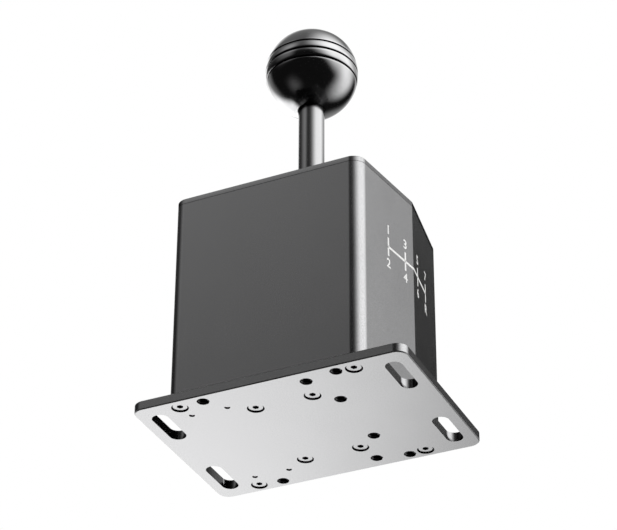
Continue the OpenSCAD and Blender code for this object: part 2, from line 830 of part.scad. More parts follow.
// Tube of radius r along the points of a line
module tube_along(line, r, sides) {
    n = len(line);
    rings = [
        for (i = [0 : n - 1])
            let (
                d = unit(line[min(i + 1, n - 1)] - line[max(i - 1, 0)]),
                side = unit([line[i][0], line[i][1], 0]),
                up = cross(d, side),
                out = cross(up, d)
            )
            each [
                for (k = [0 : sides - 1])
                    let (a = 360 * k / sides) line[i] + r * (cos(a) * out + sin(a) * up)
            ]
    ];
    walls = [
        for (i = [0 : n - 2]) for (k = [0 : sides - 1])
            let (a = i * sides + k, b = i * sides + (k + 1) % sides)
            each [[a, b, b + sides], [a, b + sides, a + sides]]
    ];
    foot = [for (k = [1 : sides - 2]) [0, k + 1, k]];
    top = [for (k = [1 : sides - 2]) [(n - 1) * sides, (n - 1) * sides + k, (n - 1) * sides + k + 1]];
    polyhedron(points = rings, faces = concat(foot, walls, top));
}

module centring_spring(side) {
    translate([side * spring_x, pivot_y, bridge_top]) tube_along(spring_line, spring_wire_r, 6);
}

module left_centring_spring() {
    color(steel) centring_spring(-1);
}

module right_centring_spring() {
    color(steel) centring_spring(1);
}

// Sensor board, cable and main board
module sensor_board() {
    color(board_green) difference() {
        block(
            [-sensor_board_half_w, pivot_y - sensor_board_half_l, foot_top],
            [sensor_board_half_w, pivot_y + sensor_board_half_l, sensor_board_top]
        );
        for (x = [-sensor_screw_x, sensor_screw_x]) for (y = [-sensor_screw_y, sensor_screw_y])
            translate([x, pivot_y + y, foot_top - eps])
                cylinder(r = cap_screw_r + 0.1, h = board_t + 2 * eps);
    }
}

module sensor_chip() {
    color(black) block(
        [-chip_w / 2, pivot_y - chip_w / 2, sensor_board_top],
        [chip_w / 2, pivot_y + chip_w / 2, sensor_board_top + chip_h]
    );
}

module sensor_board_screws() {
    color(steel) for (x = [-sensor_screw_x, sensor_screw_x]) {
        for (y = [-sensor_screw_y, sensor_screw_y]) {
            translate([x, pivot_y + y, sensor_board_top]) rotate([180, 0, 0]) small_screw(small_screw_l);
        }
    }
}

module sensor_cable() {
    color([0.6, 0.6, 0.62]) block(
        [-cable_half_w, front_header_y + header_l, cable_z],
        [cable_half_w, rear_header_y, cable_z + cable_t]
    );
}

module cable_headers() {
    color(polymer) {
        block(
            [-header_half_w, front_header_y, sensor_board_top],
            [header_half_w, front_header_y + header_l, header_top]
        );
        block(
            [-header_half_w, rear_header_y, main_board_top],
            [header_half_w, rear_header_y + header_l, header_top]
        );
    }
}

module main_board() {
    color(board_green) difference() {
        block(
            [-main_board_half_w, main_board_front, main_board_bottom],
            [main_board_half_w, main_board_rear, main_board_top]
        );
        at(standoff_places, main_board_bottom - eps) cylinder(r = cap_screw_r + 0.1, h = board_t + 2 * eps);
    }
}

module controller_chip() {
    color(black) translate([controller_x, controller_y, main_board_top])
        cube([controller_w, controller_w, chip_h]);
}

module board_standoffs() {
    color(steel) at(standoff_places, 0) difference() {
        union() {
            translate([0, 0, plate_t]) cylinder(r = standoff_r, h = standoff_h);
            translate([0, 0, standoff_shank_recess])
                cylinder(r = standoff_shank_r - fixed_clear, h = plate_t);
        }
        translate([0, 0, main_board_bottom - standoff_h + 1])
            cylinder(r = cap_screw_r + fixed_clear, h = standoff_h);
    }
}

module board_screws() {
    color(steel) at(standoff_places, main_board_top)
        rotate([180, 0, 0]) small_screw(board_t + standoff_h - 1.5);
}

module data_port() {
    color(black) difference() {
        block(
            [-port_w / 2, port_front - port_l, main_board_top],
            [port_w / 2, port_front, main_board_top + port_h]
        );
        block(
            [-socket_w / 2, port_front - socket_depth, socket_z - socket_h / 2],
            [socket_w / 2, port_front + 1, socket_z + socket_h / 2]
        );
        block(
            [-socket_w * 0.32, port_front - socket_depth * 0.7, socket_z + socket_h / 2 - 1],
            [socket_w * 0.32, port_front + 1, socket_z + socket_h / 2 + 2]
        );
    }
}

module port_contacts() {
    color(brass) for (i = [0 : contact_count - 1]) {
        x = (i - (contact_count - 1) / 2) * contact_pitch;
        block(
            [x - 0.2, port_front - socket_depth, socket_z - socket_h / 2],
            [x + 0.2, port_front - 4, socket_z - socket_h / 2 + 0.5]
        );
    }
}

// Cradle, which tilts to the left and right
module cradle() {
    color(graphite) translate([0, pivot_y, 0]) difference() {
        union() {
            difference() {
                block(
                    [-cradle_outer_w, -cradle_outer_l, cradle_bottom],
                    [cradle_outer_w, cradle_outer_l, cradle_top]
                );
                block(
                    [-cradle_inner_w, -cradle_inner_l, cradle_bottom - 1],
                    [cradle_inner_w, cradle_inner_l, cradle_top + 1]
                );
            }
            for (side = [-1, 1]) {
                translate([side * (cradle_outer_w + spring_arm_end) / 2, 0, pivot_z])
                    translate([0, 0, (spring_arm_up - spring_arm_down) / 2])
                        cube(
                            [
                                spring_arm_end - cradle_outer_w + 0.4, 2 * spring_arm_half_l,
                                spring_arm_up + spring_arm_down
                            ],
                            center = true
                        );
                translate([side * spring_x, 0, spring_top - stub_h]) cylinder(r = stub_r, h = stub_h + 1);
            }
        }
        translate([0, cradle_outer_l + 1, pivot_z]) rotate([90, 0, 0])
            cylinder(r = axle_r - shaft_clear + fixed_clear, h = 2 * cradle_outer_l + 2);
        for (side = [-1, 1]) {
            translate([side * (cradle_inner_w - 1), 0, pivot_z]) rotate([0, side * 90, 0])
                cylinder(r = bush_r + fixed_clear, h = arm_t + 1);
            translate([side * (cradle_inner_w - 1), 0, pivot_z + plunger_up]) rotate([0, side * 90, 0])
                cylinder(r = plunger_r + fixed_clear, h = arm_t + 2);
        }
    }
}

module cradle_axles() {
    color(steel) for (side = [-1, 1]) {
        translate([0, pivot_y + side * cradle_inner_l, pivot_z]) rotate([-side * 90, 0, 0])
            cylinder(r = axle_r - shaft_clear, h = upright_outer - cradle_inner_l);
    }
}

module cradle_bushes() {
    color(brass) for (side = [-1, 1]) {
        translate([side * cradle_inner_w, pivot_y, pivot_z]) rotate([0, side * 90, 0]) difference() {
            cylinder(r = bush_r, h = arm_t - 0.5);
            translate([0, 0, -1]) cylinder(r = trunnion_r + shaft_clear, h = arm_t + 2);
        }
    }
}

module detent_plungers() {
    color(steel) for (side = [-1, 1]) {
        translate([side * cradle_inner_w, pivot_y, pivot_z + plunger_up]) rotate([0, side * 90, 0]) {
            difference() {
                translate([0, 0, nose_r]) cylinder(r = plunger_r, h = arm_t - nose_r);
                translate([-0.4, -plunger_r - 1, arm_t - 1]) cube([0.8, 2 * plunger_r + 2, 2]);
            }
            translate([0, 0, nose_r]) sphere(r = nose_r);
        }
    }
}

// Lever, which tilts forwards and backwards in the cradle
module pivot_hub() {
    color(graphite) translate([0, pivot_y, 0]) difference() {
        block([-hub_half_w, -hub_half_l, hub_bottom], [hub_half_w, hub_half_l, hub_top]);
        translate([0, 0, hub_bottom - 1]) cylinder(r = tail_r + fixed_clear, h = hub_up + hub_down + 2);
        translate([-hub_half_w - 1, 0, pivot_z]) rotate([0, 90, 0])
            cylinder(r = trunnion_r + fixed_clear, h = 2 * hub_half_w + 2);
        for (side = [-1, 1]) {
            for (tilt = [-shift_angle, 0, shift_angle]) {
                translate([side * (hub_half_w + 0.6), 0, pivot_z]) rotate([tilt, 0, 0])
                    translate([0, 0, plunger_up]) sphere(r = nose_r);
            }
            translate([0, side * (tail_r - 0.5), pivot_z + hub_up / 2]) rotate([-side * 90, 0, 0])
                cylinder(r = cap_screw_r + 0.3 + fixed_clear, h = hub_half_l);
        }
    }
}

module trunnion_pins() {
    color(steel) for (side = [-1, 1]) {
        translate([side * (tail_r + 1), pivot_y, pivot_z]) rotate([0, side * 90, 0])
            cylinder(r = trunnion_r, h = cradle_outer_w - tail_r - 1.6);
    }
}

module hub_set_screws() {
    color(steel) for (side = [-1, 1]) {
        translate([0, pivot_y + side * (tail_r + 0.05), pivot_z + hub_up / 2]) rotate([-side * 90, 0, 0])
            difference() {
                cylinder(r = cap_screw_r + 0.3, h = hub_half_l - tail_r - 0.4);
                translate([0, 0, hub_half_l - tail_r - 1.6]) cylinder(r = 0.8, h = 2, $fn = 6);
            }
    }
}

module lever_rod() {
    color(black) translate([0, pivot_y, 0]) rotate_extrude() polygon([
        [0, tail_bottom], [tail_r, tail_bottom], [tail_r, hub_top], [stem_r, hub_top],
        [stem_r, neck_bottom - stem_taper], [neck_r, neck_bottom], [neck_r, neck_top],
        [rod_r, cone_top], [rod_r, ball_seat], [stud_r, ball_seat], [stud_r, ball_seat + stud_h],
        [0, ball_seat + stud_h]
    ]);
}

module magnet_holder() {
    holder_bottom = pivot_z - foot_reach;
    color(graphite) translate([0, pivot_y, 0]) difference() {
        translate([0, 0, holder_bottom])
            cylinder(r = tail_r + holder_wall, h = hub_bottom - side_gap - holder_bottom);
        translate([0, 0, tail_bottom]) cylinder(r = tail_r + fixed_clear, h = hub_bottom);
        translate([0, 0, holder_bottom - eps]) cylinder(r = magnet_r + fixed_clear, h = magnet_h + eps);
    }
}

module sensor_magnet() {
    color(steel) translate([0, pivot_y, pivot_z - foot_reach]) cylinder(r = magnet_r, h = magnet_h);
}

// Knob
module knob_ball() {
    color(black) translate([0, pivot_y, 0]) difference() {
        translate([0, 0, ball_z]) sphere(r = ball_r);
        translate([0, 0, ball_z]) rotate_extrude() for (i = [-1, 0, 1]) {
            radius = sqrt(ball_r * ball_r - pow(i * groove_pitch, 2));
            translate([radius - groove_depth, i * groove_pitch - groove_w / 2])
                square([groove_depth + 3, groove_w]);
        }
        translate([0, 0, ball_z - ball_r - 1]) cylinder(r = rod_r + 0.1, h = seat_depth + 1);
        translate([0, 0, ball_seat - eps]) cylinder(r = insert_r + fixed_clear, h = insert_h + eps);
        translate([0, 0, cap_floor]) cylinder(r = cap_r + 0.05, h = ball_r);
    }
}

module knob_insert() {
    color(brass) translate([0, pivot_y, ball_seat]) difference() {
        cylinder(r = insert_r, h = insert_h);
        translate([0, 0, -eps]) cylinder(r = stud_r + fixed_clear, h = stud_h + 1);
    }
}

module knob_cap() {
    color(graphite) translate([0, pivot_y, 0]) intersection() {
        translate([0, 0, ball_z]) sphere(r = ball_r);
        translate([0, 0, cap_floor]) cylinder(r = cap_r, h = ball_r);
    }
}

base_plate();
base_screws();
housing();
top_cover();
cover_screws();
gate_plate();
gate_damper();
gate_screws();
front_pedestal();
rear_pedestal();
front_bearing();
rear_bearing();
front_bearing_cap();
rear_bearing_cap();
bearing_cap_screws();
left_spring_bridge();
right_spring_bridge();
bridge_screws();
left_centring_spring();
right_centring_spring();
sensor_board();
sensor_chip();
sensor_board_screws();
sensor_cable();
main_board();
controller_chip();
cable_headers();
board_standoffs();
board_screws();
data_port();
port_contacts();
cradle();
cradle_axles();
cradle_bushes();
detent_plungers();
pivot_hub();
trunnion_pins();
hub_set_screws();
lever_rod();
magnet_holder();
sensor_magnet();
knob_ball();
knob_insert();
knob_cap();
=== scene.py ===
import math

import bpy
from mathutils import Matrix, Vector


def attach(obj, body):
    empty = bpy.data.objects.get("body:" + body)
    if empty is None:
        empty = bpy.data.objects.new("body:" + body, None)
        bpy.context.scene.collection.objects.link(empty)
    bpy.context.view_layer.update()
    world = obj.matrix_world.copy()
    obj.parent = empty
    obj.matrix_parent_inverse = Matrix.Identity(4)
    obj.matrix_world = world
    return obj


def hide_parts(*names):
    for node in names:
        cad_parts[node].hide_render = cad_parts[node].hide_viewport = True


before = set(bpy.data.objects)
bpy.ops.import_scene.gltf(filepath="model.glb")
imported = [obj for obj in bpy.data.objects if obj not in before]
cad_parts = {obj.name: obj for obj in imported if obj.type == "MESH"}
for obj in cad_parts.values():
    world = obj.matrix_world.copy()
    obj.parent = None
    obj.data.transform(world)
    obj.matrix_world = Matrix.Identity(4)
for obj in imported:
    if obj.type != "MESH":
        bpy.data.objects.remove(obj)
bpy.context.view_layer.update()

mm = 0.001  # every size below is in millimetres, and the scene is in metres
leverY = -0.8  # where the lever's axis stands
same = 0.01  # points nearer than this count as one
past = 1  # how far a cutter runs past what it cuts
lap = 0.5  # how far joined solids reach into each other

# Working in Blender


def objectMode():
    bpy.ops.object.mode_set(mode="OBJECT")


def editAll(kind="VERT", action="SELECT"):
    bpy.ops.object.mode_set(mode="EDIT")
    bpy.ops.mesh.select_mode(type=kind)
    bpy.ops.mesh.select_all(action=action)


def deselectAll():
    if bpy.context.mode != "OBJECT":
        objectMode()
    bpy.ops.object.select_all(action="DESELECT")


def activate(*objects):
    deselectAll()
    for item in objects:
        item.select_set(True)
    bpy.context.view_layer.objects.active = objects[0]


def settle(name):
    obj = bpy.context.object  # the newest object: its place goes into its mesh
    obj.name = obj.data.name = name
    activate(obj)
    bpy.ops.object.transform_apply()
    return obj


def moveTo(obj, x, y, z=0):
    obj.location = (x * mm, y * mm, z * mm)
    activate(obj)
    bpy.ops.object.transform_apply()
    return obj


def newBox(name, low, high):
    deselectAll()
    size = [(b - a) * mm for a, b in zip(low, high)]
    centre = [(a + b) / 2 * mm for a, b in zip(low, high)]
    bpy.ops.mesh.primitive_cube_add(size=1, location=centre, scale=size)
    return settle(name)


def newCylinder(name, radius, low, high, place=(0, 0), sides=64):
    deselectAll()
    bpy.ops.mesh.primitive_cylinder_add(
        vertices=sides, radius=radius * mm, depth=(high - low) * mm,
        location=(place[0] * mm, place[1] * mm, (low + high) / 2 * mm))
    return settle(name)


def newCone(name, lowRadius, highRadius, low, high, place=(0, 0), sides=64):
    deselectAll()
    bpy.ops.mesh.primitive_cone_add(
        vertices=sides, radius1=lowRadius * mm, radius2=highRadius * mm, depth=(high - low) * mm,
        location=(place[0] * mm, place[1] * mm, (low + high) / 2 * mm))
    return settle(name)


def startPicking(obj, kind):
    activate(obj)
    editAll(kind, "DESELECT")
    objectMode()


def pickEdges(obj, test):
    startPicking(obj, "EDGE")
    points = obj.data.vertices
    for edge in obj.data.edges:
        a, b = (points[i].co / mm for i in edge.vertices)
        edge.select = bool(test(a, b))
    bpy.ops.object.mode_set(mode="EDIT")


def pickFaces(obj, test):
    startPicking(obj, "FACE")
    for face in obj.data.polygons:
        face.select = bool(test(face.center / mm, face.normal))
    bpy.ops.object.mode_set(mode="EDIT")


def upright(a, b):
    return abs(a.x - b.x) < same and abs(a.y - b.y) < same


def bevelPicked(width, segments=1):
    bpy.ops.mesh.bevel(
        offset=width * mm, segments=segments, profile=0.5, affect="EDGES", clamp_overlap=True)
    objectMode()


def tidyMesh(obj, weld=0.002):
    activate(obj)
    editAll()
    bpy.ops.mesh.remove_doubles(threshold=weld * mm)
    bpy.ops.mesh.normals_make_consistent(inside=False)
    objectMode()


def applyModifier(obj, modifier):
    activate(obj)
    bpy.ops.object.modifier_apply(modifier=modifier.name)


def joinAll(name, parts):
    activate(*parts)
    if len(parts) > 1:
        bpy.ops.object.join()
    obj = bpy.context.object
    obj.name = obj.data.name = name
    return obj


def carve(obj, cutters, operation="DIFFERENCE"):
    cutter = joinAll("cutter", cutters)
    modifier = obj.modifiers.new("carve", "BOOLEAN")
    modifier.object = cutter
    modifier.operation = operation
    modifier.solver = "EXACT"
    applyModifier(obj, modifier)
    bpy.data.objects.remove(cutter, do_unlink=True)


def breakEdges(obj, width, segments=2, angle=32):
    modifier = obj.modifiers.new("edges", "BEVEL")
    modifier.width = width * mm
    modifier.segments = segments
    modifier.limit_method = "ANGLE"
    modifier.angle_limit = math.radians(angle)
    modifier.use_clamp_overlap = True
    modifier.miter_outer = "MITER_SHARP"
    applyModifier(obj, modifier)


def smoothShade(obj, angle=32):
    activate(obj)
    bpy.ops.object.shade_smooth_by_angle(angle=math.radians(angle))
    weights = obj.modifiers.new("weights", "WEIGHTED_NORMAL")  # keeps the large flat faces flat
    weights.keep_sharp = True
    weights.weight = 100
    applyModifier(obj, weights)


def copyTo(obj, places, name):
    copies = []
    for place in places:
        twin = obj.copy()
        twin.data = obj.data.copy()
        bpy.context.collection.objects.link(twin)
        twin.location = Vector((place[0], place[1], 0)) * mm
        copies.append(twin)
    bpy.data.objects.remove(obj, do_unlink=True)
    whole = joinAll(name, copies)
    bpy.ops.object.transform_apply()
    return whole


def lathe(name, outline, steps=96):
    # outline: (radius, height) points round the lever's axis
    deselectAll()
    start = Vector((outline[0][0], leverY, outline[0][1])) * mm
    bpy.ops.mesh.primitive_plane_add(size=mm, location=start)
    obj = settle(name)
    editAll()
    bpy.ops.mesh.merge(type="CENTER")
    for (r0, z0), (r1, z1) in zip(outline, outline[1:]):
        step = ((r1 - r0) * mm, 0, (z1 - z0) * mm)
        bpy.ops.mesh.extrude_vertices_move(TRANSFORM_OT_translate={"value": step})
    bpy.ops.mesh.select_all(action="SELECT")
    bpy.ops.mesh.spin(steps=steps, angle=2 * math.pi, center=(0, leverY * mm, 0), axis=(0, 0, 1))
    objectMode()
    tidyMesh(obj)
    return obj


def cadCopy(node, name, weld=0.001, flat=0.5):
    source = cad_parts[node]
    obj = bpy.data.objects.new(name, source.data.copy())
    bpy.context.collection.objects.link(obj)
    obj.data.name = name
    obj.data.materials.clear()
    activate(obj)
    editAll()
    bpy.ops.mesh.remove_doubles(threshold=weld * mm)
    bpy.ops.mesh.dissolve_limited(angle_limit=math.radians(flat))
    objectMode()
    return obj


def newText(name, words, size, place, turn=(0, 0, 0), thick=0.04, bold=0.1):
    deselectAll()
    bpy.ops.object.text_add(
        location=[v * mm for v in place], rotation=[math.radians(v) for v in turn])
    obj = bpy.context.object
    obj.data.body = words
    obj.data.size = size * mm
    obj.data.align_x = "CENTER"
    obj.data.align_y = "CENTER"
    obj.data.extrude = thick * mm
    obj.data.offset = bold * mm
    bpy.ops.object.convert(target="MESH")
    return settle(name)


def finishPiece(obj, body, look, nodes=()):
    obj.data.materials.clear()
    obj.data.materials.append(looks[look])
    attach(obj, body)
    if nodes:
        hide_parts(*nodes)


# Materials


def newGroup(name, inputs, outputs):
    group = bpy.data.node_groups.new(name, "ShaderNodeTree")
    for label, kind, value in inputs:
        socket = group.interface.new_socket(name=label, in_out="INPUT", socket_type=kind)
        socket.default_value = value
    for label, kind in outputs:
        group.interface.new_socket(name=label, in_out="OUTPUT", socket_type=kind)
    return group, group.nodes.new("NodeGroupInput"), group.nodes.new("NodeGroupOutput")


def addNode(tree, kind, values=None, **settings):
    node = tree.nodes.new(kind)
    for key, value in settings.items():
        setattr(node, key, value)
    for socket, value in (values or {}).items():
        if isinstance(value, bpy.types.NodeSocket):
            tree.links.new(value, node.inputs[socket])
        else:
            node.inputs[socket].default_value = value
    return node


def objectPlace(tree):
    return addNode(tree, "ShaderNodeTexCoord").outputs["Object"]


def calculate(tree, operation, *values):
    return addNode(tree, "ShaderNodeMath", dict(enumerate(values)), operation=operation).outputs[0]


def dotProduct(tree, first, second):
    node = addNode(tree, "ShaderNodeVectorMath", {0: first, 1: second}, operation="DOT_PRODUCT")
    return node.outputs["Value"]


def mapValue(tree, value, low, high):
    node = addNode(tree, "ShaderNodeMapRange", {"Value": value, "To Min": low, "To Max": high})
    return node.outputs["Result"]


def ease(tree, value, start, end, first=1.0, last=0.0):
    # Soft step from one level to another
    node = addNode(tree, "ShaderNodeMapRange", {
        "Value": value, "From Min": start, "From Max": end, "To Min": first, "To Max": last},
        interpolation_type="SMOOTHSTEP")
    return node.outputs["Result"]


def makeGrainGroup():
    # Fine grain of a blasted or moulded surface, and the larger cloudy patches under it
    group, ins, outs = newGroup(
        "fineGrain", [("Scale", "NodeSocketFloat", 2500.0)],
        [("Grain", "NodeSocketFloat"), ("Patches", "NodeSocketFloat")])
    place = objectPlace(group)
    grain = addNode(group, "ShaderNodeTexNoise", {
        "Vector": place, "Scale": ins.outputs["Scale"], "Detail": 3.0, "Roughness": 0.65})
    patches = addNode(group, "ShaderNodeTexNoise", {
        "Vector": place, "Scale": 40.0, "Detail": 4.0, "Roughness": 0.55})
    group.links.new(grain.outputs["Fac"], outs.inputs["Grain"])
    group.links.new(ease(group, patches.outputs["Fac"], 0.3, 0.7, 0.0, 1.0), outs.inputs["Patches"])
    return group


def makeBrushGroup():
    # Long fine lines of brushing or turning: noise drawn out along one direction
    group, ins, outs = newGroup(
        "brushLines", [("Stretch", "NodeSocketVector", (3000.0, 60.0, 60.0))],
        [("Lines", "NodeSocketFloat")])
    drawn = addNode(group, "ShaderNodeVectorMath", {
        0: objectPlace(group), 1: ins.outputs["Stretch"]}, operation="MULTIPLY")
    lines = addNode(group, "ShaderNodeTexNoise", {
        "Vector": drawn.outputs[0], "Scale": 1.0, "Detail": 4.0, "Roughness": 0.7})
    group.links.new(lines.outputs["Fac"], outs.inputs["Lines"])
    return group


def makeRubGroup():
    # Rubbed edges: where the rounded normal leaves the true one, broken up by noise
    group, ins, outs = newGroup(
        "rubbedEdges", [("Amount", "NodeSocketFloat", 0.5)], [("Rub", "NodeSocketFloat")])
    noise = addNode(group, "ShaderNodeTexNoise", {
        "Vector": objectPlace(group), "Scale": 900.0, "Detail": 3.0})
    rounded = addNode(group, "ShaderNodeBevel", {"Radius": 0.3 * mm}, samples=4)
    true = addNode(group, "ShaderNodeNewGeometry")
    edge = addNode(group, "ShaderNodeMapRange", {
        "Value": dotProduct(group, rounded.outputs["Normal"], true.outputs["Normal"]),
        "From Min": 0.97, "From Max": 0.8})
    broken = calculate(group, "MULTIPLY", edge.outputs["Result"], noise.outputs["Fac"])
    group.links.new(calculate(group, "MULTIPLY", broken, ins.outputs["Amount"]), outs.inputs["Rub"])
    return group


grainGroup = makeGrainGroup()
brushGroup = makeBrushGroup()
rubGroup = makeRubGroup()


def startMaterial(name):
    material = bpy.data.materials.new(name)
    material.use_nodes = True
    tree = material.node_tree
    tree.nodes.clear()
    shader = tree.nodes.new("ShaderNodeBsdfPrincipled")
    output = tree.nodes.new("ShaderNodeOutputMaterial")
    tree.links.new(shader.outputs[0], output.inputs["Surface"])
    return material, tree, shader


def startGlow(name):
    material = bpy.data.materials.new(name)
    material.use_nodes = True
    material.cycles.emission_sampling = "NONE"
    material.node_tree.nodes.clear()
    return material, material.node_tree


def mixColour(tree, factor, first, second):
    mix = tree.nodes.new("ShaderNodeMix")
    mix.data_type = "RGBA"
    tree.links.new(factor, mix.inputs[0])
    for socket, colour in ((6, first), (7, second)):
        if isinstance(colour, bpy.types.NodeSocket):
            tree.links.new(colour, mix.inputs[socket])
        else:
            mix.inputs[socket].default_value = (*colour, 1)
    return mix.outputs[2]


def addBump(tree, shader, strength, depth, height):
    bump = addNode(tree, "ShaderNodeBump", {
        "Strength": strength, "Distance": depth * mm, "Height": height})
    tree.links.new(bump.outputs["Normal"], shader.inputs["Normal"])


def dressSurface(tree, shader, look, colour, mask, height, depth):
    # What the blasted and the brushed finishes share
    tree.links.new(colour, shader.inputs["Base Color"])
    tree.links.new(mapValue(tree, mask, *look["roughness"]), shader.inputs["Roughness"])
    addBump(tree, shader, look["bump"], depth, height)
    shader.inputs["Specular Tint"].default_value = (*[look.get("glance", 1.0)] * 3, 1)


def grainMaterial(name, look):
    # Blasted, moulded or cast finishes
    material, tree, shader = startMaterial(name)
    node = addNode(tree, "ShaderNodeGroup", {"Scale": look["grainScale"]}, node_tree=grainGroup)
    grain, patches = node.outputs["Grain"], node.outputs["Patches"]
    colour = mixColour(tree, patches, look["colour"], look["patchColour"])
    rub = addNode(tree, "ShaderNodeGroup", {"Amount": look.get("rub", 0.3)}, node_tree=rubGroup)
    colour = mixColour(tree, rub.outputs["Rub"], colour, look.get("edgeColour", look["patchColour"]))
    fleck = 3 * look.get("fleck", 0.1)
    flecked = addNode(tree, "ShaderNodeVectorMath", {
        0: colour, "Scale": mapValue(tree, grain, 1 - fleck, 1 + fleck)}, operation="SCALE")
    dressSurface(tree, shader, look, flecked.outputs[0], patches, grain, depth=0.02)
    shader.inputs["Metallic"].default_value = look.get("metallic", 0.0)
    return material


def brushedMaterial(name, look):
    # Brushed, turned or ground metals
    material, tree, shader = startMaterial(name)
    node = addNode(tree, "ShaderNodeGroup", {"Stretch": look["stretch"]}, node_tree=brushGroup)
    lines = node.outputs["Lines"]
    colour = mixColour(tree, lines, look["colour"], look["lineColour"])
    dressSurface(tree, shader, look, colour, lines, lines, depth=0.01)
    shader.inputs["Metallic"].default_value = 1.0
    return material


def boardMaterial(name, look):
    # Circuit board: solder mask with copper tracks under it
    material, tree, shader = startMaterial(name)
    tracks = addNode(tree, "ShaderNodeTexBrick", {
        "Vector": objectPlace(tree), "Scale": look["trackScale"], "Mortar Size": 0.06,
        "Mortar Smooth": 0.3, "Color1": (0, 0, 0, 1), "Color2": (0, 0, 0, 1), "Mortar": (1, 1, 1, 1)})
    colour = mixColour(tree, tracks.outputs["Color"], look["colour"], look["trackColour"])
    tree.links.new(colour, shader.inputs["Base Color"])
    addBump(tree, shader, look["bump"], look["bumpDepth"], tracks.outputs["Color"])
    shader.inputs["Roughness"].default_value = look["roughness"]
    return material


def ribbonMaterial(name, look):
    # Flat cable: ribs along its length
    material, tree, shader = startMaterial(name)
    ribs = addNode(tree, "ShaderNodeTexWave", {
        "Vector": objectPlace(tree), "Scale": look["ribScale"]}, bands_direction="X")
    colour = mixColour(tree, ribs.outputs["Fac"], look["colour"], look["ribColour"])
    tree.links.new(colour, shader.inputs["Base Color"])
    addBump(tree, shader, look["bump"], look["bumpDepth"], ribs.outputs["Fac"])
    shader.inputs["Roughness"].default_value = look["roughness"]
    return material


anodised = {
    "colour": (0.183, 0.183, 0.185), "patchColour": (0.19, 0.19, 0.192), "edgeColour": (0.3, 0.3, 0.303),
    "roughness": (0.2, 0.22), "metallic": 1.0, "grainScale": 1800, "bump": 0.03, "rub": 0.35, "fleck": 0.12,
}
finishes = {
    "blackAnodised": (grainMaterial, anodised),
    "knobBlack": (grainMaterial, {
        **anodised, "colour": (0.206, 0.206, 0.208), "patchColour": (0.213, 0.213, 0.215),
        "roughness": (0.12, 0.13), "bump": 0.01, "grainScale": 3500, "fleck": 0.03}),
    "rodBlack": (grainMaterial, {**anodised, "roughness": (0.165, 0.175), "bump": 0.01, "fleck": 0.04}),
    "coverBlack": (grainMaterial, {**anodised, "glance": 0.35}),
    "graphiteAnodised": (grainMaterial, {
        **anodised, "colour": (0.3, 0.3, 0.31), "patchColour": (0.34, 0.34, 0.35),
        "roughness": (0.36, 0.42)}),
    "blackOxide": (grainMaterial, {
        **anodised, "colour": (0.17, 0.17, 0.175), "patchColour": (0.21, 0.21, 0.215),
        "roughness": (0.34, 0.42), "grainScale": 4200, "bump": 0.2, "rub": 0.6}),
    # Rougher finish for the outer chamfer, its colour a little lighter as a painted highlight
    "chamferPaintedHighlight": (grainMaterial, {
        **anodised, "colour": (0.2, 0.2, 0.202), "patchColour": (0.21, 0.21, 0.212),
        "roughness": (0.42, 0.46), "fleck": 0.05}),
    "gateSteel": (brushedMaterial, {
        "colour": (0.2, 0.2, 0.205), "lineColour": (0.3, 0.3, 0.305), "roughness": (0.28, 0.4),
        "stretch": (2600, 40, 40), "bump": 0.12, "glance": 0.35}),
    "brightSteel": (brushedMaterial, {
        "colour": (0.52, 0.52, 0.53), "lineColour": (0.64, 0.64, 0.65), "roughness": (0.16, 0.28),
        "stretch": (900, 900, 1800), "bump": 0.08}),
    "bronze": (brushedMaterial, {
        "colour": (0.55, 0.37, 0.16), "lineColour": (0.72, 0.53, 0.27), "roughness": (0.22, 0.36),
        "stretch": (500, 500, 2400), "bump": 0.1}),
    "nickel": (brushedMaterial, {
        "colour": (0.62, 0.6, 0.56), "lineColour": (0.7, 0.69, 0.65), "roughness": (0.1, 0.16),
        "stretch": (700, 700, 700), "bump": 0.04}),
    "contactGold": (brushedMaterial, {
        "colour": (0.78, 0.55, 0.2), "lineColour": (0.88, 0.68, 0.3), "roughness": (0.16, 0.26),
        "stretch": (3000, 200, 3000), "bump": 0.05}),
    "circuitBoard": (boardMaterial, {
        "colour": (0.012, 0.085, 0.04), "trackColour": (0.03, 0.19, 0.09), "trackScale": 260,
        "roughness": 0.28, "bump": 0.3, "bumpDepth": 0.03}),
    "chipBlack": (grainMaterial, {
        "colour": (0.022, 0.022, 0.023), "patchColour": (0.032, 0.032, 0.033), "roughness": (0.5, 0.62),
        "grainScale": 3200, "bump": 0.25}),
    "portBlack": (grainMaterial, {
        "colour": (0.018, 0.018, 0.019), "patchColour": (0.026, 0.026, 0.027), "roughness": (0.3, 0.38),
        "grainScale": 2200, "bump": 0.12}),
    "headerWhite": (grainMaterial, {
        "colour": (0.74, 0.72, 0.66), "patchColour": (0.8, 0.78, 0.72), "roughness": (0.42, 0.5),
        "grainScale": 2200, "bump": 0.1}),
    "cableGrey": (ribbonMaterial, {
        "colour": (0.2, 0.2, 0.21), "ribColour": (0.34, 0.34, 0.35), "ribScale": 280,
        "roughness": 0.5, "bump": 0.6, "bumpDepth": 0.1}),
    "damperPolymer": (grainMaterial, {
        "colour": (0.05, 0.05, 0.052), "patchColour": (0.075, 0.075, 0.077), "roughness": (0.55, 0.68),
        "grainScale": 1600, "bump": 0.3}),
    "markWhite": (grainMaterial, {
        "colour": (0.72, 0.72, 0.71), "patchColour": (0.8, 0.8, 0.79), "roughness": (0.5, 0.6),
        "grainScale": 3200, "bump": 0.15}),
}
looks = {name: maker(name, look) for name, (maker, look) in finishes.items()}
print("materials:", len(looks))

# Camera, studio and floor

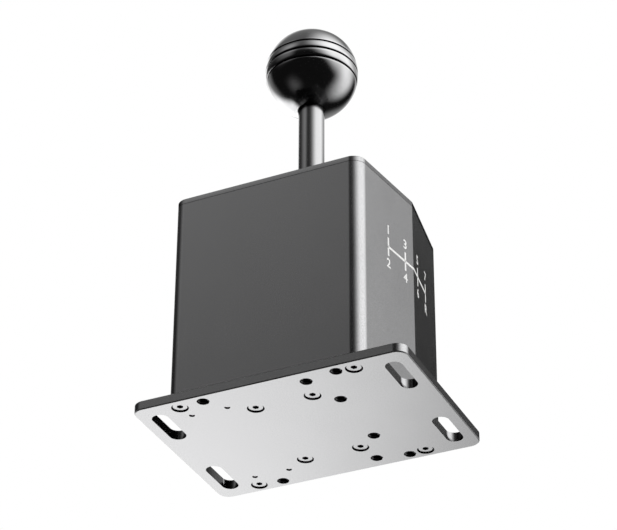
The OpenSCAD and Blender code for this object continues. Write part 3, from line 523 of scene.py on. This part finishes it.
cameraLook = {
    "place": (-0.92252, -0.42899, -0.55935),
    "turn": (122.75055, -0.24587, -65.19413),
    "lens": 138.073,
    "sensor": 36,
}
deselectAll()
bpy.ops.object.camera_add(
    location=cameraLook["place"], rotation=[math.radians(v) for v in cameraLook["turn"]])
camera = bpy.context.object
camera.name = "camera"
camera.data.lens = cameraLook["lens"]
camera.data.sensor_width = cameraLook["sensor"]
camera.data.sensor_fit = "HORIZONTAL"
camera.data.clip_start = 0.01
bpy.context.scene.camera = camera
bpy.context.scene.view_settings.view_transform = "Standard"

# The studio that the metal reflects: soft panels by the azimuth and height of their middle, how far they
# reach to the left, right, up and down, and how wide each of those edges fades, all in degrees
studio = {
    "rightHigh": {"middle": (-69.6, 53.5), "reach": (9.2, 48.4, 21.7, 43.3),
                  "fade": (23.7, 19.7, 22.5, 32.4), "level": 4.17},
    "rightLow": {"middle": (-57.8, -1.3), "reach": (23.1, 17.6, 28.5, 32.9),
                 "fade": (15, 20.1, 28.1, 35), "level": 3.11},
    "back": {"middle": (37.8, 2.5), "reach": (49.2, 40.2, 23.6, 21),
             "fade": (9.3, 10, 2.6, 13.9), "level": 0.54},
    "backLow": {"middle": (64.7, -34.1), "reach": (9.1, 38.1, 45.3, 9.9),
                "fade": (9.6, 4.7, 21.3, 7.7), "level": 3.73},
    "leftHigh": {"middle": (148.8, 41.5), "reach": (8.9, 19.0, 10, 4.2),
                 "fade": (10.8, 19.6, 9.5, 32.6), "level": 1.53},
    "leftLow": {"middle": (138.1, -44.7), "reach": (9.4, 9.2, 8.4, 8.9),
                "fade": (17, 16.5, 22.6, 13.4), "level": 0.44},
}
panelSides = ("Left", "Right", "Up", "Down")
studioTop = {"from": 0.4, "to": 0.94, "level": 0.36}  # pale ceiling, by the height of the direction
studioDark = 0.019  # between the panels
secondLevel = 0.08  # how much of the studio a reflection inside a reflection keeps
softLevel = 0.85  # what lights everything that isn't metal


def outward(azimuth, height):
    # Direction by its angles in radians
    level = math.cos(height)
    return Vector((level * math.cos(azimuth), level * math.sin(azimuth), math.sin(height)))


def makePanelGroup():
    axes = ("Forward", "Sideways", "Upward")
    inputs = [(label, "NodeSocketVector", (0, 0, 1)) for label in ("Direction", *axes)]
    for side in panelSides:
        inputs += [(side, "NodeSocketFloat", 0.5), (side + " Edge", "NodeSocketFloat", 0.1)]
    inputs.append(("Level", "NodeSocketFloat", 1.0))
    group, ins, outs = newGroup("softPanel", inputs, [("Light", "NodeSocketFloat")])
    forward, sideways, upward = (
        dotProduct(group, ins.outputs["Direction"], ins.outputs[label]) for label in axes)
    left = calculate(group, "ARCTAN2", sideways, forward)
    right = calculate(group, "MULTIPLY", left, -1.0)
    above = calculate(group, "ARCSINE", upward)
    below = calculate(group, "MULTIPLY", above, -1.0)
    light = ins.outputs["Level"]
    for angle, side in zip((left, right, above, below), panelSides):
        reach, edge = ins.outputs[side], ins.outputs[side + " Edge"]
        outer = calculate(group, "ADD", reach, edge)
        inner = calculate(group, "SUBTRACT", reach, edge)
        light = calculate(group, "MULTIPLY", light, ease(group, angle, inner, outer))
    group.links.new(light, outs.inputs["Light"])
    return group


def makeStudio():
    world = bpy.data.worlds.new("studio")
    bpy.context.scene.world = world
    world.use_nodes = True
    world.cycles.sampling_method = "NONE"
    tree = world.node_tree
    tree.nodes.clear()
    direction = addNode(tree, "ShaderNodeTexCoord").outputs["Generated"]
    lift = addNode(tree, "ShaderNodeSeparateXYZ", {0: direction})
    total = ease(tree, lift.outputs["Z"], studioTop["from"], studioTop["to"],
                 studioDark, studioDark + studioTop["level"])
    panelGroup = makePanelGroup()
    for panel in studio.values():
        a, e = (math.radians(angle) for angle in panel["middle"])
        node = addNode(tree, "ShaderNodeGroup", {
            "Direction": direction, "Forward": outward(a, e), "Sideways": (-math.sin(a), math.cos(a), 0),
            "Upward": outward(a, e + math.pi / 2), "Level": panel["level"]}, node_tree=panelGroup)
        for side, reach, edge in zip(panelSides, panel["reach"], panel["fade"]):
            node.inputs[side].default_value = math.radians(reach)
            node.inputs[side + " Edge"].default_value = math.radians(edge)
        total = calculate(tree, "ADD", total, node.outputs["Light"])
    rays = tree.nodes.new("ShaderNodeLightPath")
    second = calculate(tree, "GREATER_THAN", rays.outputs["Glossy Depth"], 1.5)
    total = calculate(tree, "MULTIPLY", total, mapValue(tree, second, 1.0, secondLevel))
    byGloss = addNode(tree, "ShaderNodeMix", {
        0: rays.outputs["Is Glossy Ray"], 2: softLevel, 3: total}, data_type="FLOAT")
    byCamera = addNode(tree, "ShaderNodeMix", {
        0: rays.outputs["Is Camera Ray"], 2: byGloss.outputs[0], 3: 1.0}, data_type="FLOAT")
    background = addNode(tree, "ShaderNodeBackground", {
        "Color": (1, 1, 1, 1), "Strength": byCamera.outputs[0]})
    addNode(tree, "ShaderNodeOutputWorld", {"Surface": background.outputs[0]})


makeStudio()

# This lamp lights what isn't metal: the metal shows the studio instead
lamp = {"place": (-0.5, -0.7, 0.9), "aim": (0, 0, 0.1), "size": 0.7, "power": 6}
deselectAll()
bpy.ops.object.light_add(type="AREA", location=lamp["place"])
softLamp = bpy.context.object
softLamp.name = "softLamp"
softLamp.data.size = lamp["size"]
softLamp.data.energy = lamp["power"]
lampAim = Vector(lamp["aim"]) - Vector(lamp["place"])
softLamp.rotation_euler = lampAim.to_track_quat("-Z", "Y").to_euler()
softLamp.visible_glossy = False

# Glowing cards near the knob, which only reflections show, in millimetres and degrees
cards = {
    "frontCard": {"azimuth": -24, "height": 37, "distance": 200, "half": (170, 50), "fade": (28, 20),
                  "level": 0.85},
    "backCard": {"azimuth": 46, "height": 35, "distance": 214, "half": (76, 90), "fade": (12, 70),
                 "level": 1.5},
}
cardAim = Vector((0, leverY, 205)) * mm


def showReflected(obj, material):
    # Seen in reflections alone
    obj.visible_camera = obj.visible_diffuse = obj.visible_transmission = obj.visible_shadow = False
    obj.data.materials.append(material)


def makeCard(name, card):
    material, tree = startGlow(name)
    parts = addNode(tree, "ShaderNodeSeparateXYZ", {0: objectPlace(tree)})
    light = card["level"]
    for axis, half, edge in zip("XY", card["half"], card["fade"]):
        away = calculate(tree, "ABSOLUTE", parts.outputs[axis])
        light = calculate(tree, "MULTIPLY", light, ease(tree, away, (half - edge) * mm, (half + edge) * mm))
    glow = addNode(tree, "ShaderNodeEmission", {"Strength": light})
    clear = addNode(tree, "ShaderNodeBsdfTransparent")
    both = addNode(tree, "ShaderNodeAddShader", {0: glow.outputs[0], 1: clear.outputs[0]})
    addNode(tree, "ShaderNodeOutputMaterial", {"Surface": both.outputs[0]})
    out = outward(math.radians(card["azimuth"]), math.radians(card["height"]))
    deselectAll()
    bpy.ops.mesh.primitive_plane_add(size=2 * mm)
    obj = bpy.context.object
    obj.scale = (*[half + edge for half, edge in zip(card["half"], card["fade"])], 1)
    settle(name)
    obj.rotation_euler = (-out).to_track_quat("Z", "Y").to_euler()
    obj.location = cardAim + out * card["distance"] * mm
    showReflected(obj, material)


for cardName, card in cards.items():
    makeCard(cardName, card)

# The floor shows only from above, so that the camera below it sees the underside
floorLook = {"size": 6, "height": -0.02, "colour": (0.86, 0.86, 0.86), "roughness": 0.9}


def makeFloor():
    deselectAll()
    bpy.ops.mesh.primitive_plane_add(size=floorLook["size"], location=(0, 0, floorLook["height"] * mm))
    floor = settle("floor")
    material, tree, shader = startMaterial("floorPale")
    shader.inputs["Base Color"].default_value = (*floorLook["colour"], 1)
    shader.inputs["Roughness"].default_value = floorLook["roughness"]
    rays = tree.nodes.new("ShaderNodeLightPath")
    side = tree.nodes.new("ShaderNodeNewGeometry")
    front = calculate(tree, "SUBTRACT", 1.0, side.outputs["Backfacing"])
    shown = calculate(tree, "MULTIPLY", front, rays.outputs["Is Camera Ray"])
    clear = addNode(tree, "ShaderNodeBsdfTransparent")
    mix = addNode(tree, "ShaderNodeMixShader", {0: shown, 1: clear.outputs[0], 2: shader.outputs[0]})
    output = next(n for n in tree.nodes if n.type == "OUTPUT_MATERIAL")
    tree.links.new(mix.outputs[0], output.inputs["Surface"])
    floor.data.materials.append(material)


# The same floor as the lower walls reflect it: cut out under the plate, and gone for what lies further up
shine = {"border": 400, "halfWidth": 51.5, "halfLength": 72.9, "level": 0.45, "near": 180, "far": 222}


def makeFloorShine():
    deselectAll()
    bpy.ops.mesh.primitive_plane_add(size=2 * mm, location=(0, 0, floorLook["height"] * mm))
    floorShine = bpy.context.object
    floorShine.scale = (shine["halfWidth"] + shine["border"], shine["halfLength"] + shine["border"], 1)
    settle("floorShine")
    editAll("FACE")
    bpy.ops.mesh.inset(thickness=shine["border"] * mm)
    bpy.ops.mesh.delete(type="FACE")
    objectMode()
    material, tree = startGlow("floorShine")
    rays = tree.nodes.new("ShaderNodeLightPath")
    seen = ease(tree, rays.outputs["Ray Length"], shine["near"] * mm, shine["far"] * mm)
    clear = addNode(tree, "ShaderNodeBsdfTransparent")
    glow = addNode(tree, "ShaderNodeEmission", {"Strength": shine["level"]})
    mix = addNode(tree, "ShaderNodeMixShader", {0: seen, 1: clear.outputs[0], 2: glow.outputs[0]})
    addNode(tree, "ShaderNodeOutputMaterial", {"Surface": mix.outputs[0]})
    showReflected(floorShine, material)


makeFloor()
makeFloorShine()
print("camera, studio and floor")

# Base plate, its threads, its screws and the standoffs in it

plate = {
    "halfWidth": 50.5, "halfLength": 71.9, "thick": 5, "cornerRadius": 6, "chamfer": 0.5, "rim": 1,
    "edge": 0.08, "slotWidth": 8.6, "slotLength": 26.6, "slotRadius": 4.299,
    "slots": [(x, y) for x in (-29, 29) for y in (-61.7, 61.7)],
    "threads": [(sx * x, y) for sx in (-1, 1) for x, y in ((45, 35), (45, -35), (42, -18.2), (20, -26.2))],
    "threadMajor": 3.0, "threadMinor": 2.5, "mouth": 3.15, "mouthReach": 0.5,
    "screws": [
        (sx * x, y) for sx in (-1, 1) for x, y in ((44, 48), (44, -43.8), (28.5, 14.9), (28.5, -15.3))],
    "counterbore": 4.3, "headSeat": 3.25, "screwHole": 2.15,
    "standoffs": [(sx * 35, y) for sx in (-1, 1) for y in (27, 46.1)], "standoffHole": 1.45,
}
# Ridge of a thread: its profile goes up by these shares of the pitch
thread = {
    "pitch": 1.0, "start": 0.55, "profile": (0, 0.4, 0.5, 0.9), "bite": 0.1, "turns": 3, "sides": 32,
    "weld": 0.0005,
}
baseScrew = {
    "shank": 1.95, "length": 9, "head": 3.85, "height": 2.6, "chamfer": 0.35, "edge": 0.08,
    "hex": 2.9, "socketFloor": -0.91,
}
standoff = {"shank": 1.42, "end": 0.52, "seat": 5, "body": 2.5, "top": 10, "bore": 1.23, "boreFloor": 6}


def slotCutter(x, y):
    halfLength, halfWidth = plate["slotLength"] / 2, plate["slotWidth"] / 2
    cutter = newBox(
        "slotCutter", (-halfLength, -halfWidth, -past), (halfLength, halfWidth, plate["thick"] + past))
    pickEdges(cutter, upright)
    bevelPicked(plate["slotRadius"], 16)
    return moveTo(cutter, x, y)


def makeBasePlate():
    w, l, t = plate["halfWidth"], plate["halfLength"], plate["thick"]
    body = newBox("basePlate", (-w, -l, 0), (w, l, t))
    pickEdges(body, upright)
    bevelPicked(plate["cornerRadius"], 14)
    pickEdges(body, lambda a, b: abs(a.z - b.z) < same)
    bevelPicked(plate["chamfer"])
    cutters = [slotCutter(x, y) for x, y in plate["slots"]]
    mouths = []
    wide, reach = plate["mouth"], plate["mouthReach"]
    for place in plate["threads"]:
        cutters.append(newCylinder("bore", plate["threadMajor"], -past, t + past, place, 48))
        mouths.append(newCone("mouth", wide + reach, wide - reach, -reach, reach, place, 48))
    for place in plate["screws"]:
        cutters.append(newCylinder("hole", plate["screwHole"], plate["headSeat"] - lap, t + past, place, 40))
    for place in plate["standoffs"]:
        cutters.append(newCylinder("standoffHole", plate["standoffHole"], -past, t + past, place, 32))
    carve(body, cutters)
    carve(body, [
        newCylinder("seat", plate["counterbore"], -past, plate["headSeat"], place, 56)
        for place in plate["screws"]])
    carve(body, mouths)
    breakEdges(body, plate["edge"], angle=30)
    smoothShade(body, 30)
    finishPiece(body, "case", "blackAnodised", ["base_plate"])
    # The chamfer round the outside gets a rougher finish with a slightly lighter colour: a painted highlight
    # along the edge
    body.data.materials.append(looks["chamferPaintedHighlight"])
    r = plate["cornerRadius"]
    for face in body.data.polygons:
        outX, outY = abs(face.center.x) / mm - w + r, abs(face.center.y) / mm - l + r
        sloping = 0.5 < abs(face.normal.z) < 0.9
        if sloping and math.hypot(max(outX, 0), max(outY, 0)) > r - plate["rim"]:
            face.material_index = 1


def makeThreads():
    # One ridge with the thread's pitch, wound up through each hole
    inner, outer, pitch = plate["threadMinor"], plate["threadMajor"] + thread["bite"], thread["pitch"]
    deselectAll()
    bpy.ops.mesh.primitive_plane_add(size=mm)
    ridge = settle("plateThreads")
    corners = [ridge.data.vertices[i] for i in (0, 1, 3, 2)]
    for corner, r, share in zip(corners, (outer, inner, inner, outer), thread["profile"]):
        corner.co = Vector((r, 0, thread["start"] + share * pitch)) * mm
    editAll()
    bpy.ops.mesh.delete(type="ONLY_FACE")
    objectMode()
    winding = ridge.modifiers.new("winding", "SCREW")
    winding.angle = 2 * math.pi
    winding.screw_offset = pitch * mm
    winding.iterations = thread["turns"]
    winding.steps = winding.render_steps = thread["sides"]
    winding.use_merge_vertices = True
    winding.merge_threshold = thread["weld"] * mm
    applyModifier(ridge, winding)
    editAll()
    bpy.ops.mesh.fill_holes(sides=4)
    objectMode()
    tidyMesh(ridge)
    smoothShade(ridge, 25)
    threads = copyTo(ridge, plate["threads"], "plateThreads")
    finishPiece(threads, "case", "blackAnodised")


def hexSocket(width, low, high):
    return newCylinder("socket", width / math.sqrt(3), low, high, sides=6)


def makeBaseScrews():
    # The head's seat is at height 0 at first, with the head below and the shank above
    height = baseScrew["height"]
    screw = newCylinder("baseScrews", baseScrew["head"], -height, 0)
    pickEdges(screw, lambda a, b: abs(a.z + height) < same and abs(b.z + height) < same)
    bevelPicked(baseScrew["chamfer"], 3)
    carve(screw, [hexSocket(baseScrew["hex"], -height - past, baseScrew["socketFloor"])])
    carve(screw, [newCylinder("shank", baseScrew["shank"], -lap, baseScrew["length"], sides=32)], "UNION")
    breakEdges(screw, baseScrew["edge"], angle=40)
    smoothShade(screw, 35)
    moveTo(screw, 0, 0, plate["headSeat"])
    screws = copyTo(screw, plate["screws"], "baseScrews")
    finishPiece(screws, "case", "blackAnodised", ["base_screws"])


def makeStandoffs():
    # Shanks whose flat ends show in the small holes of the plate
    seat, top = standoff["seat"], standoff["top"]
    post = newCylinder("boardStandoffs", standoff["shank"], standoff["end"], seat + lap, sides=40)
    carve(post, [newCylinder("body", standoff["body"], seat, top, sides=48)], "UNION")
    carve(post, [newCylinder("bore", standoff["bore"], standoff["boreFloor"], top + past, sides=32)])
    smoothShade(post, 30)
    posts = copyTo(post, plate["standoffs"], "boardStandoffs")
    finishPiece(posts, "case", "blackAnodised", ["board_standoffs"])


makeBasePlate()
makeThreads()
makeBaseScrews()
makeStandoffs()
print("base plate")

# Housing and top cover

shell = {
    "halfWidth": 50, "rear": 52.6, "front": -49.9, "tip": -57.4, "cornerRadius": 6, "wall": 2.5,
    "low": 5, "high": 115, "coverHigh": 118, "tipRadius": 0.5, "edge": 0.15,
    "seam": 0.25, "seamDepth": 0.6, "topEdge": 0.25, "topShrink": 0.997, "coverEdge": 0.06,
    "posts": [(sx * 44, y) for sx in (-1, 1) for y in (48, -43.8)], "postRadius": 5.99, "postHole": 1.98,
    "portHalfWidth": 6.9, "portLow": 11.3, "portHigh": 23.4, "portPast": 2,
}
window = {
    "left": -18.455, "right": 32.89, "centreY": leverY, "halfLength": 20.79, "cornerRadius": 4,
    "screws": [(x, leverY + sy * 13.86) for x in (-22.45, 36.89) for sy in (-1, 1)],
}
flatHeads = {
    "cover": {"shank": 1.95, "head": 3.9, "length": 13, "hex": 2.46},
    "gate": {"shank": 1.45, "head": 2.8, "length": 7.5, "hex": 1.88},
}
sunk = {"clearance": 0.05, "holeDepth": 8, "socketDepth": 1.3, "neck": 0.4, "edge": 0.06}


def housingBlock(name, low, high):
    front = shell["front"]
    block = newBox(name, (-shell["halfWidth"], front, low), (shell["halfWidth"], shell["rear"], high))
    editAll()
    bpy.ops.mesh.bisect(plane_co=(0, 0, 0), plane_no=(1, 0, 0))
    objectMode()
    pickEdges(block, lambda a, b: upright(a, b) and abs(a.x) < same and abs(a.y - front) < same)
    bpy.ops.transform.translate(value=(0, (shell["tip"] - front) * mm, 0))
    objectMode()
    pickEdges(block, lambda a, b: upright(a, b) and abs(a.x) > same)
    bevelPicked(shell["cornerRadius"], 14)
    pickEdges(block, lambda a, b: upright(a, b) and abs(a.x) < same and a.y < 0)
    bevelPicked(shell["tipRadius"], 4)
    return block


def makeHousing():
    low, high = shell["low"], shell["high"]
    walls = housingBlock("housing", low, high)
    pickFaces(walls, lambda centre, normal: abs(normal.z) > 0.9)
    bpy.ops.mesh.delete(type="FACE")
    objectMode()
    thick = walls.modifiers.new("thick", "SOLIDIFY")
    thick.thickness = shell["wall"] * mm
    thick.offset = -1
    thick.use_even_offset = True
    applyModifier(walls, thick)
    tidyMesh(walls)
    posts = joinAll("posts", [
        newCylinder("post", shell["postRadius"], low, high, place, 48) for place in shell["posts"]])
    carve(posts, [housingBlock("outline", low, high)], "INTERSECT")
    carve(walls, [posts], "UNION")
    holes = [
        newCylinder("postHole", shell["postHole"], low - past, high + past, place, 32)
        for place in shell["posts"]]
    holes.append(newBox(
        "portOpening",
        (-shell["portHalfWidth"], shell["rear"] - shell["wall"] - shell["portPast"], shell["portLow"]),
        (shell["portHalfWidth"], shell["rear"] + shell["portPast"], shell["portHigh"])))
    carve(walls, holes)
    breakEdges(walls, shell["edge"], angle=40)
    smoothShade(walls, 32)
    finishPiece(walls, "case", "blackAnodised", ["housing"])


def flatHeadCutters(screw, place):
    top, shank, head, spare = shell["coverHigh"], screw["shank"], screw["head"], sunk["clearance"]
    hole = newCylinder("screwHole", shank + spare, top - sunk["holeDepth"], top + past, place, 32)
    low = top - (head - shank) - spare
    return [hole, newCone("screwSink", shank, head + past + spare, low, top + past, place, 48)]


def makeCover():
    low, high = shell["high"], shell["coverHigh"]
    cover = housingBlock("topCover", low + shell["seam"], high - shell["topEdge"])
    pickFaces(cover, lambda centre, normal: normal.z > 0.9)
    bpy.ops.mesh.extrude_region_move(TRANSFORM_OT_translate={"value": (0, 0, shell["topEdge"] * mm)})
    bpy.ops.transform.resize(value=(shell["topShrink"], shell["topShrink"], 1))
    objectMode()
    pickFaces(cover, lambda centre, normal: normal.z < -0.9)
    bpy.ops.mesh.inset(thickness=shell["seamDepth"] * mm)
    bpy.ops.mesh.extrude_region_move(TRANSFORM_OT_translate={"value": (0, 0, -shell["seam"] * mm)})
    objectMode()
    opening = newBox("window", (window["left"], window["centreY"] - window["halfLength"], low - past),
                     (window["right"], window["centreY"] + window["halfLength"], high + past))
    pickEdges(opening, upright)
    bevelPicked(window["cornerRadius"], 10)
    carve(cover, [opening])
    for kind, places in (("cover", shell["posts"]), ("gate", window["screws"])):
        for place in places:
            for cutter in flatHeadCutters(flatHeads[kind], place):
                carve(cover, [cutter])
    breakEdges(cover, shell["coverEdge"], angle=40)
    smoothShade(cover, 32)
    finishPiece(cover, "case", "coverBlack", ["top_cover"])


def flatScrews(name, screw, places):
    top, shank, head = shell["coverHigh"], screw["shank"], screw["head"]
    piece = newCone(name, shank, head, top - (head - shank), top - sunk["clearance"], sides=48)
    carve(piece, [newCylinder("shank", shank, top - screw["length"], top - sunk["neck"], sides=32)], "UNION")
    carve(piece, [hexSocket(screw["hex"], top - sunk["socketDepth"], top + past)])
    breakEdges(piece, sunk["edge"], angle=40)
    smoothShade(piece, 35)
    return copyTo(piece, places, name)


def makeCoverScrews():
    corner = flatScrews("coverScrews", flatHeads["cover"], shell["posts"])
    finishPiece(corner, "case", "blackOxide", ["cover_screws"])
    gate = flatScrews("gateScrews", flatHeads["gate"], window["screws"])
    finishPiece(gate, "case", "blackOxide", ["gate_screws"])


makeHousing()
makeCover()
makeCoverScrews()
print("housing and cover")

# Lever and knob

rod = {
    "outline": [
        (0, 26), (4.6, 26), (5, 26.4), (5, 55), (5.7, 55), (6, 55.3), (6, 96), (5.9, 96.6), (3.7, 100.1),
        (3.5, 100.7), (3.5, 129.4), (3.6, 130.3), (6.85, 145.4), (7, 146.3), (7, 194.7), (6.7, 195),
        (4.95, 195), (4.95, 214.6), (4.6, 215), (0, 215),
    ],
    "edge": 0.25,
}
ball = {
    "radius": 25, "centre": 216.5, "seatRadius": 7.1, "seat": 195, "insertRadius": 7.98, "insertTop": 219,
    "seatEdge": 0.3, "seatSteps": ((0, 0.35), (0.08, 0.1)), "capHole": 11.05, "capFloor": 237.75,
    "capEdge": 0.15, "capDrop": 0.1, "arcStep": 2,
    "grooves": (-5.4, 0, 5.4), "grooveWidth": 1.1, "grooveDepth": 0.9, "lip": 0.4, "lipShare": 0.3,
}
cap = {"radius": 11, "foot": 10.8, "edge": 10.9, "drop": 0.15, "rings": 12}


def ballPoint(z):
    return (math.sqrt(ball["radius"] ** 2 - z * z), ball["centre"] + z)


def makeRod():
    lever = lathe("leverRod", rod["outline"], 96)
    breakEdges(lever, rod["edge"], 3, 12)
    smoothShade(lever, 40)
    finishPiece(lever, "lever", "rodBlack", ["lever_rod"])


def ballArc(low, high):
    # Points on the sphere between two heights over its centre
    start, end = (math.asin(z / ball["radius"]) for z in (low, high))
    count = max(2, round(abs(end - start) / math.radians(ball["arcStep"])))
    angles = [start + (end - start) * k / count for k in range(count + 1)]
    return [ballPoint(ball["radius"] * math.sin(angle)) for angle in angles]


def groovePoints(middle):
    half, lip = ball["grooveWidth"] / 2, ball["lip"]
    soft = lip * ball["lipShare"]
    floorRadius = ballPoint(middle)[0] - ball["grooveDepth"]
    points = []
    for sign in (-1, 1):
        wall, height = ballPoint(middle + sign * half)
        side = [(wall - soft, height + sign * soft), (wall - lip, height), (floorRadius, height)]
        points += side[::-sign]
    return points


def makeBall():
    # Outline from the bore's top, down to the rod's seat, up over the grooves and into the disc's recess
    radius, centre, seat = ball["radius"], ball["centre"], ball["seatRadius"]
    low = -math.sqrt(radius ** 2 - (seat + ball["seatEdge"]) ** 2)
    top = math.sqrt(radius ** 2 - (ball["capHole"] + ball["capEdge"]) ** 2)
    outline = [
        (0, ball["insertTop"]), (ball["insertRadius"], ball["insertTop"]),
        (ball["insertRadius"], ball["seat"]), (seat, ball["seat"]),
    ]
    outline += [(seat + out, centre + low + up) for out, up in ball["seatSteps"]]
    reach = ball["grooveWidth"] / 2 + ball["lip"]
    start = low
    for middle in ball["grooves"]:
        outline += ballArc(start, middle - reach) + groovePoints(middle)
        start = middle + reach
    outline += ballArc(start, top)
    recess, recessFloor = ball["capHole"], ball["capFloor"]
    outline += [(recess, centre + top - ball["capDrop"]), (recess, recessFloor), (0, recessFloor)]
    knob = lathe("knobBall", outline, 128)
    smoothShade(knob, 30)
    finishPiece(knob, "lever", "knobBlack", ["knob_ball"])


def makeCap():
    # Disc in the ball's top, following the sphere, with the shift pattern printed on it
    radius, centre, low = ball["radius"], ball["centre"], ball["capFloor"]
    wallTop = centre + math.sqrt(radius ** 2 - cap["radius"] ** 2) - cap["drop"]
    outline = [(0, low), (cap["foot"], low), (cap["radius"], low + cap["radius"] - cap["foot"])]
    outline.append((cap["radius"], wallTop))
    edgeAngle = math.asin(cap["edge"] / radius)
    for k in range(cap["rings"] + 1):
        a = edgeAngle * (1 - k / cap["rings"])
        outline.append((radius * math.sin(a), centre + radius * math.cos(a)))
    disc = lathe("knobCap", outline, 96)
    smoothShade(disc, 30)
    finishPiece(disc, "lever", "blackAnodised", ["knob_cap"])


makeRod()
makeBall()
makeCap()
print("lever and knob")

# Printed marks: the shift pattern on the prow and the knob, and the gears beside the window
pattern = {
    "names": (("1", "3", "5", "7"), ("2", "4", "6", "R")),
    "prow": {"columns": (-24, -8, 8, 24), "middle": 77.5, "reach": 5.4, "row": 9.8, "size": 7.2, "line": 1.3,
             "thick": 0.08, "bold": 0.12},
    "cover": {"tilts": (-10, 0, 10, 20), "pivot": 42, "gap": 4.6, "size": 5.2},
    "knob": {"columns": (-6, -2, 2, 6), "reach": 2.7, "row": 4.8, "size": 2.9, "line": 0.5, "offset": 0.02,
             "lift": 1, "thick": 0.06, "bold": 0.03},
}


def gearPlaces(steps):
    # Each gear with its row, 1 or -1, and its step along the row
    for row, names in zip((1, -1), pattern["names"]):
        for step, name in zip(steps, names):
            yield row, step, name


def makeProwMark():
    mark = pattern["prow"]
    slope = math.atan2(shell["front"] - shell["tip"], shell["halfWidth"])

    def onProw(away, height):
        # Place on the prow's faces, by the way along them from the tip
        return (away * math.cos(slope), shell["tip"] + abs(away) * math.sin(slope), height)

    def bar(start, end, low, high):
        side = -1 if start + end < 0 else 1
        deselectAll()
        bpy.ops.mesh.primitive_cube_add(
            size=mm, location=[v * mm for v in onProw((start + end) / 2, (low + high) / 2)],
            rotation=(0, 0, side * slope), scale=(end - start, mark["thick"], high - low))
        return settle("bar")

    half = mark["line"] / 2
    left, right = mark["columns"][0], mark["columns"][-1]
    middle = mark["middle"]
    marks = [bar(*ends, middle - half, middle + half) for ends in ((left - half, 0), (0, right + half))]
    for row, column, name in gearPlaces(mark["columns"]):
        side = -1 if column < 0 else 1
        ends = sorted((middle, middle + row * mark["reach"]))
        marks.append(bar(column - half, column + half, *ends))
        marks.append(newText(
            "gear", name, mark["size"], onProw(column, middle + row * mark["row"]),
            (90, 0, math.degrees(side * slope)), bold=mark["bold"]))
    finishPiece(joinAll("prowMark", marks), "case", "markWhite")


def makeCoverMarks():
    mark = pattern["cover"]
    marks = []
    for side, tilt, name in gearPlaces(mark["tilts"]):
        x = (shell["coverHigh"] - mark["pivot"]) * math.tan(math.radians(tilt))
        y = window["centreY"] + side * (window["halfLength"] + mark["gap"])
        marks.append(newText("gear", name, mark["size"], (x, y, shell["coverHigh"])))
    finishPiece(joinAll("coverMarks", marks), "case", "markWhite")


def makeKnobMark():
    # Drawn flat over the knob, then laid down on its round disc
    mark = pattern["knob"]
    above = ball["centre"] + ball["radius"] + mark["lift"]
    half = mark["line"] / 2

    def stripe(x0, x1, y0, y1):
        deselectAll()
        bpy.ops.mesh.primitive_grid_add(
            x_subdivisions=max(1, round(x1 - x0)), y_subdivisions=max(1, round(y1 - y0)), size=mm,
            location=((x0 + x1) / 2 * mm, (y0 + y1) / 2 * mm, above * mm))
        bpy.context.object.scale = (x1 - x0, y1 - y0, 1)
        return settle("stripe")

    marks = [stripe(mark["columns"][0] - half, mark["columns"][-1] + half, leverY - half, leverY + half)]
    for row, column, name in gearPlaces(mark["columns"]):
        ends = sorted((leverY + row * half, leverY + row * mark["reach"]))
        marks.append(stripe(column - half, column + half, *ends))
        place = (column, leverY + row * mark["row"], above)
        marks.append(newText("gear", name, mark["size"], place, thick=0, bold=mark["bold"]))
    printed = joinAll("knobMark", marks)
    lay = printed.modifiers.new("lay", "SHRINKWRAP")
    lay.target = bpy.data.objects["knobCap"]
    lay.wrap_method = "PROJECT"
    lay.use_project_z = True
    lay.use_negative_direction = True
    lay.use_positive_direction = False
    lay.offset = mark["offset"] * mm
    applyModifier(printed, lay)
    thick = printed.modifiers.new("thick", "SOLIDIFY")
    thick.thickness = mark["thick"] * mm
    applyModifier(printed, thick)
    finishPiece(printed, "lever", "markWhite")


makeProwMark()
makeCoverMarks()
makeKnobMark()
print("printed marks")

# Pieces that keep the frame's shape, with their edges broken
brokenEdges = {
    "gatePlate": {"node": "gate_plate", "slot": "gate_steel", "look": "gateSteel", "edge": 0.3},
    "dataPort": {"node": "data_port", "slot": "port_black", "look": "portBlack", "edge": 0.12},
}
for pieceName, piece in brokenEdges.items():
    copied = cadCopy(piece["node"], pieceName)
    breakEdges(copied, piece["edge"], angle=40)
    smoothShade(copied, 35)
    finishPiece(copied, "case", piece["look"], [piece["node"]])
print("gate plate and data port")

# The frame's own parts

nodeLooks = {
    "graphiteAnodised": [
        "front_pedestal", "rear_pedestal", "left_spring_bridge", "right_spring_bridge", "cradle", "pivot_hub",
        "magnet_holder"],
    "blackAnodised": ["front_bearing_cap", "rear_bearing_cap"],
    "brightSteel": [
        "front_bearing", "rear_bearing", "bearing_cap_screws", "bridge_screws", "left_centring_spring",
        "right_centring_spring", "sensor_board_screws", "board_screws", "cradle_axles", "detent_plungers",
        "trunnion_pins"],
    "blackOxide": ["hub_set_screws"],
    "damperPolymer": ["gate_damper"],
    "bronze": ["cradle_bushes", "knob_insert"],
    "nickel": ["sensor_magnet"],
    "circuitBoard": ["sensor_board", "main_board"],
    "chipBlack": ["sensor_chip", "controller_chip"],
    "headerWhite": ["cable_headers"],
    "cableGrey": ["sensor_cable"],
    "contactGold": ["port_contacts"],
}
for look, names in nodeLooks.items():
    for nodeName in names:
        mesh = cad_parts[nodeName].data
        mesh.materials.clear()
        mesh.materials.append(looks[look])
print("frame parts")
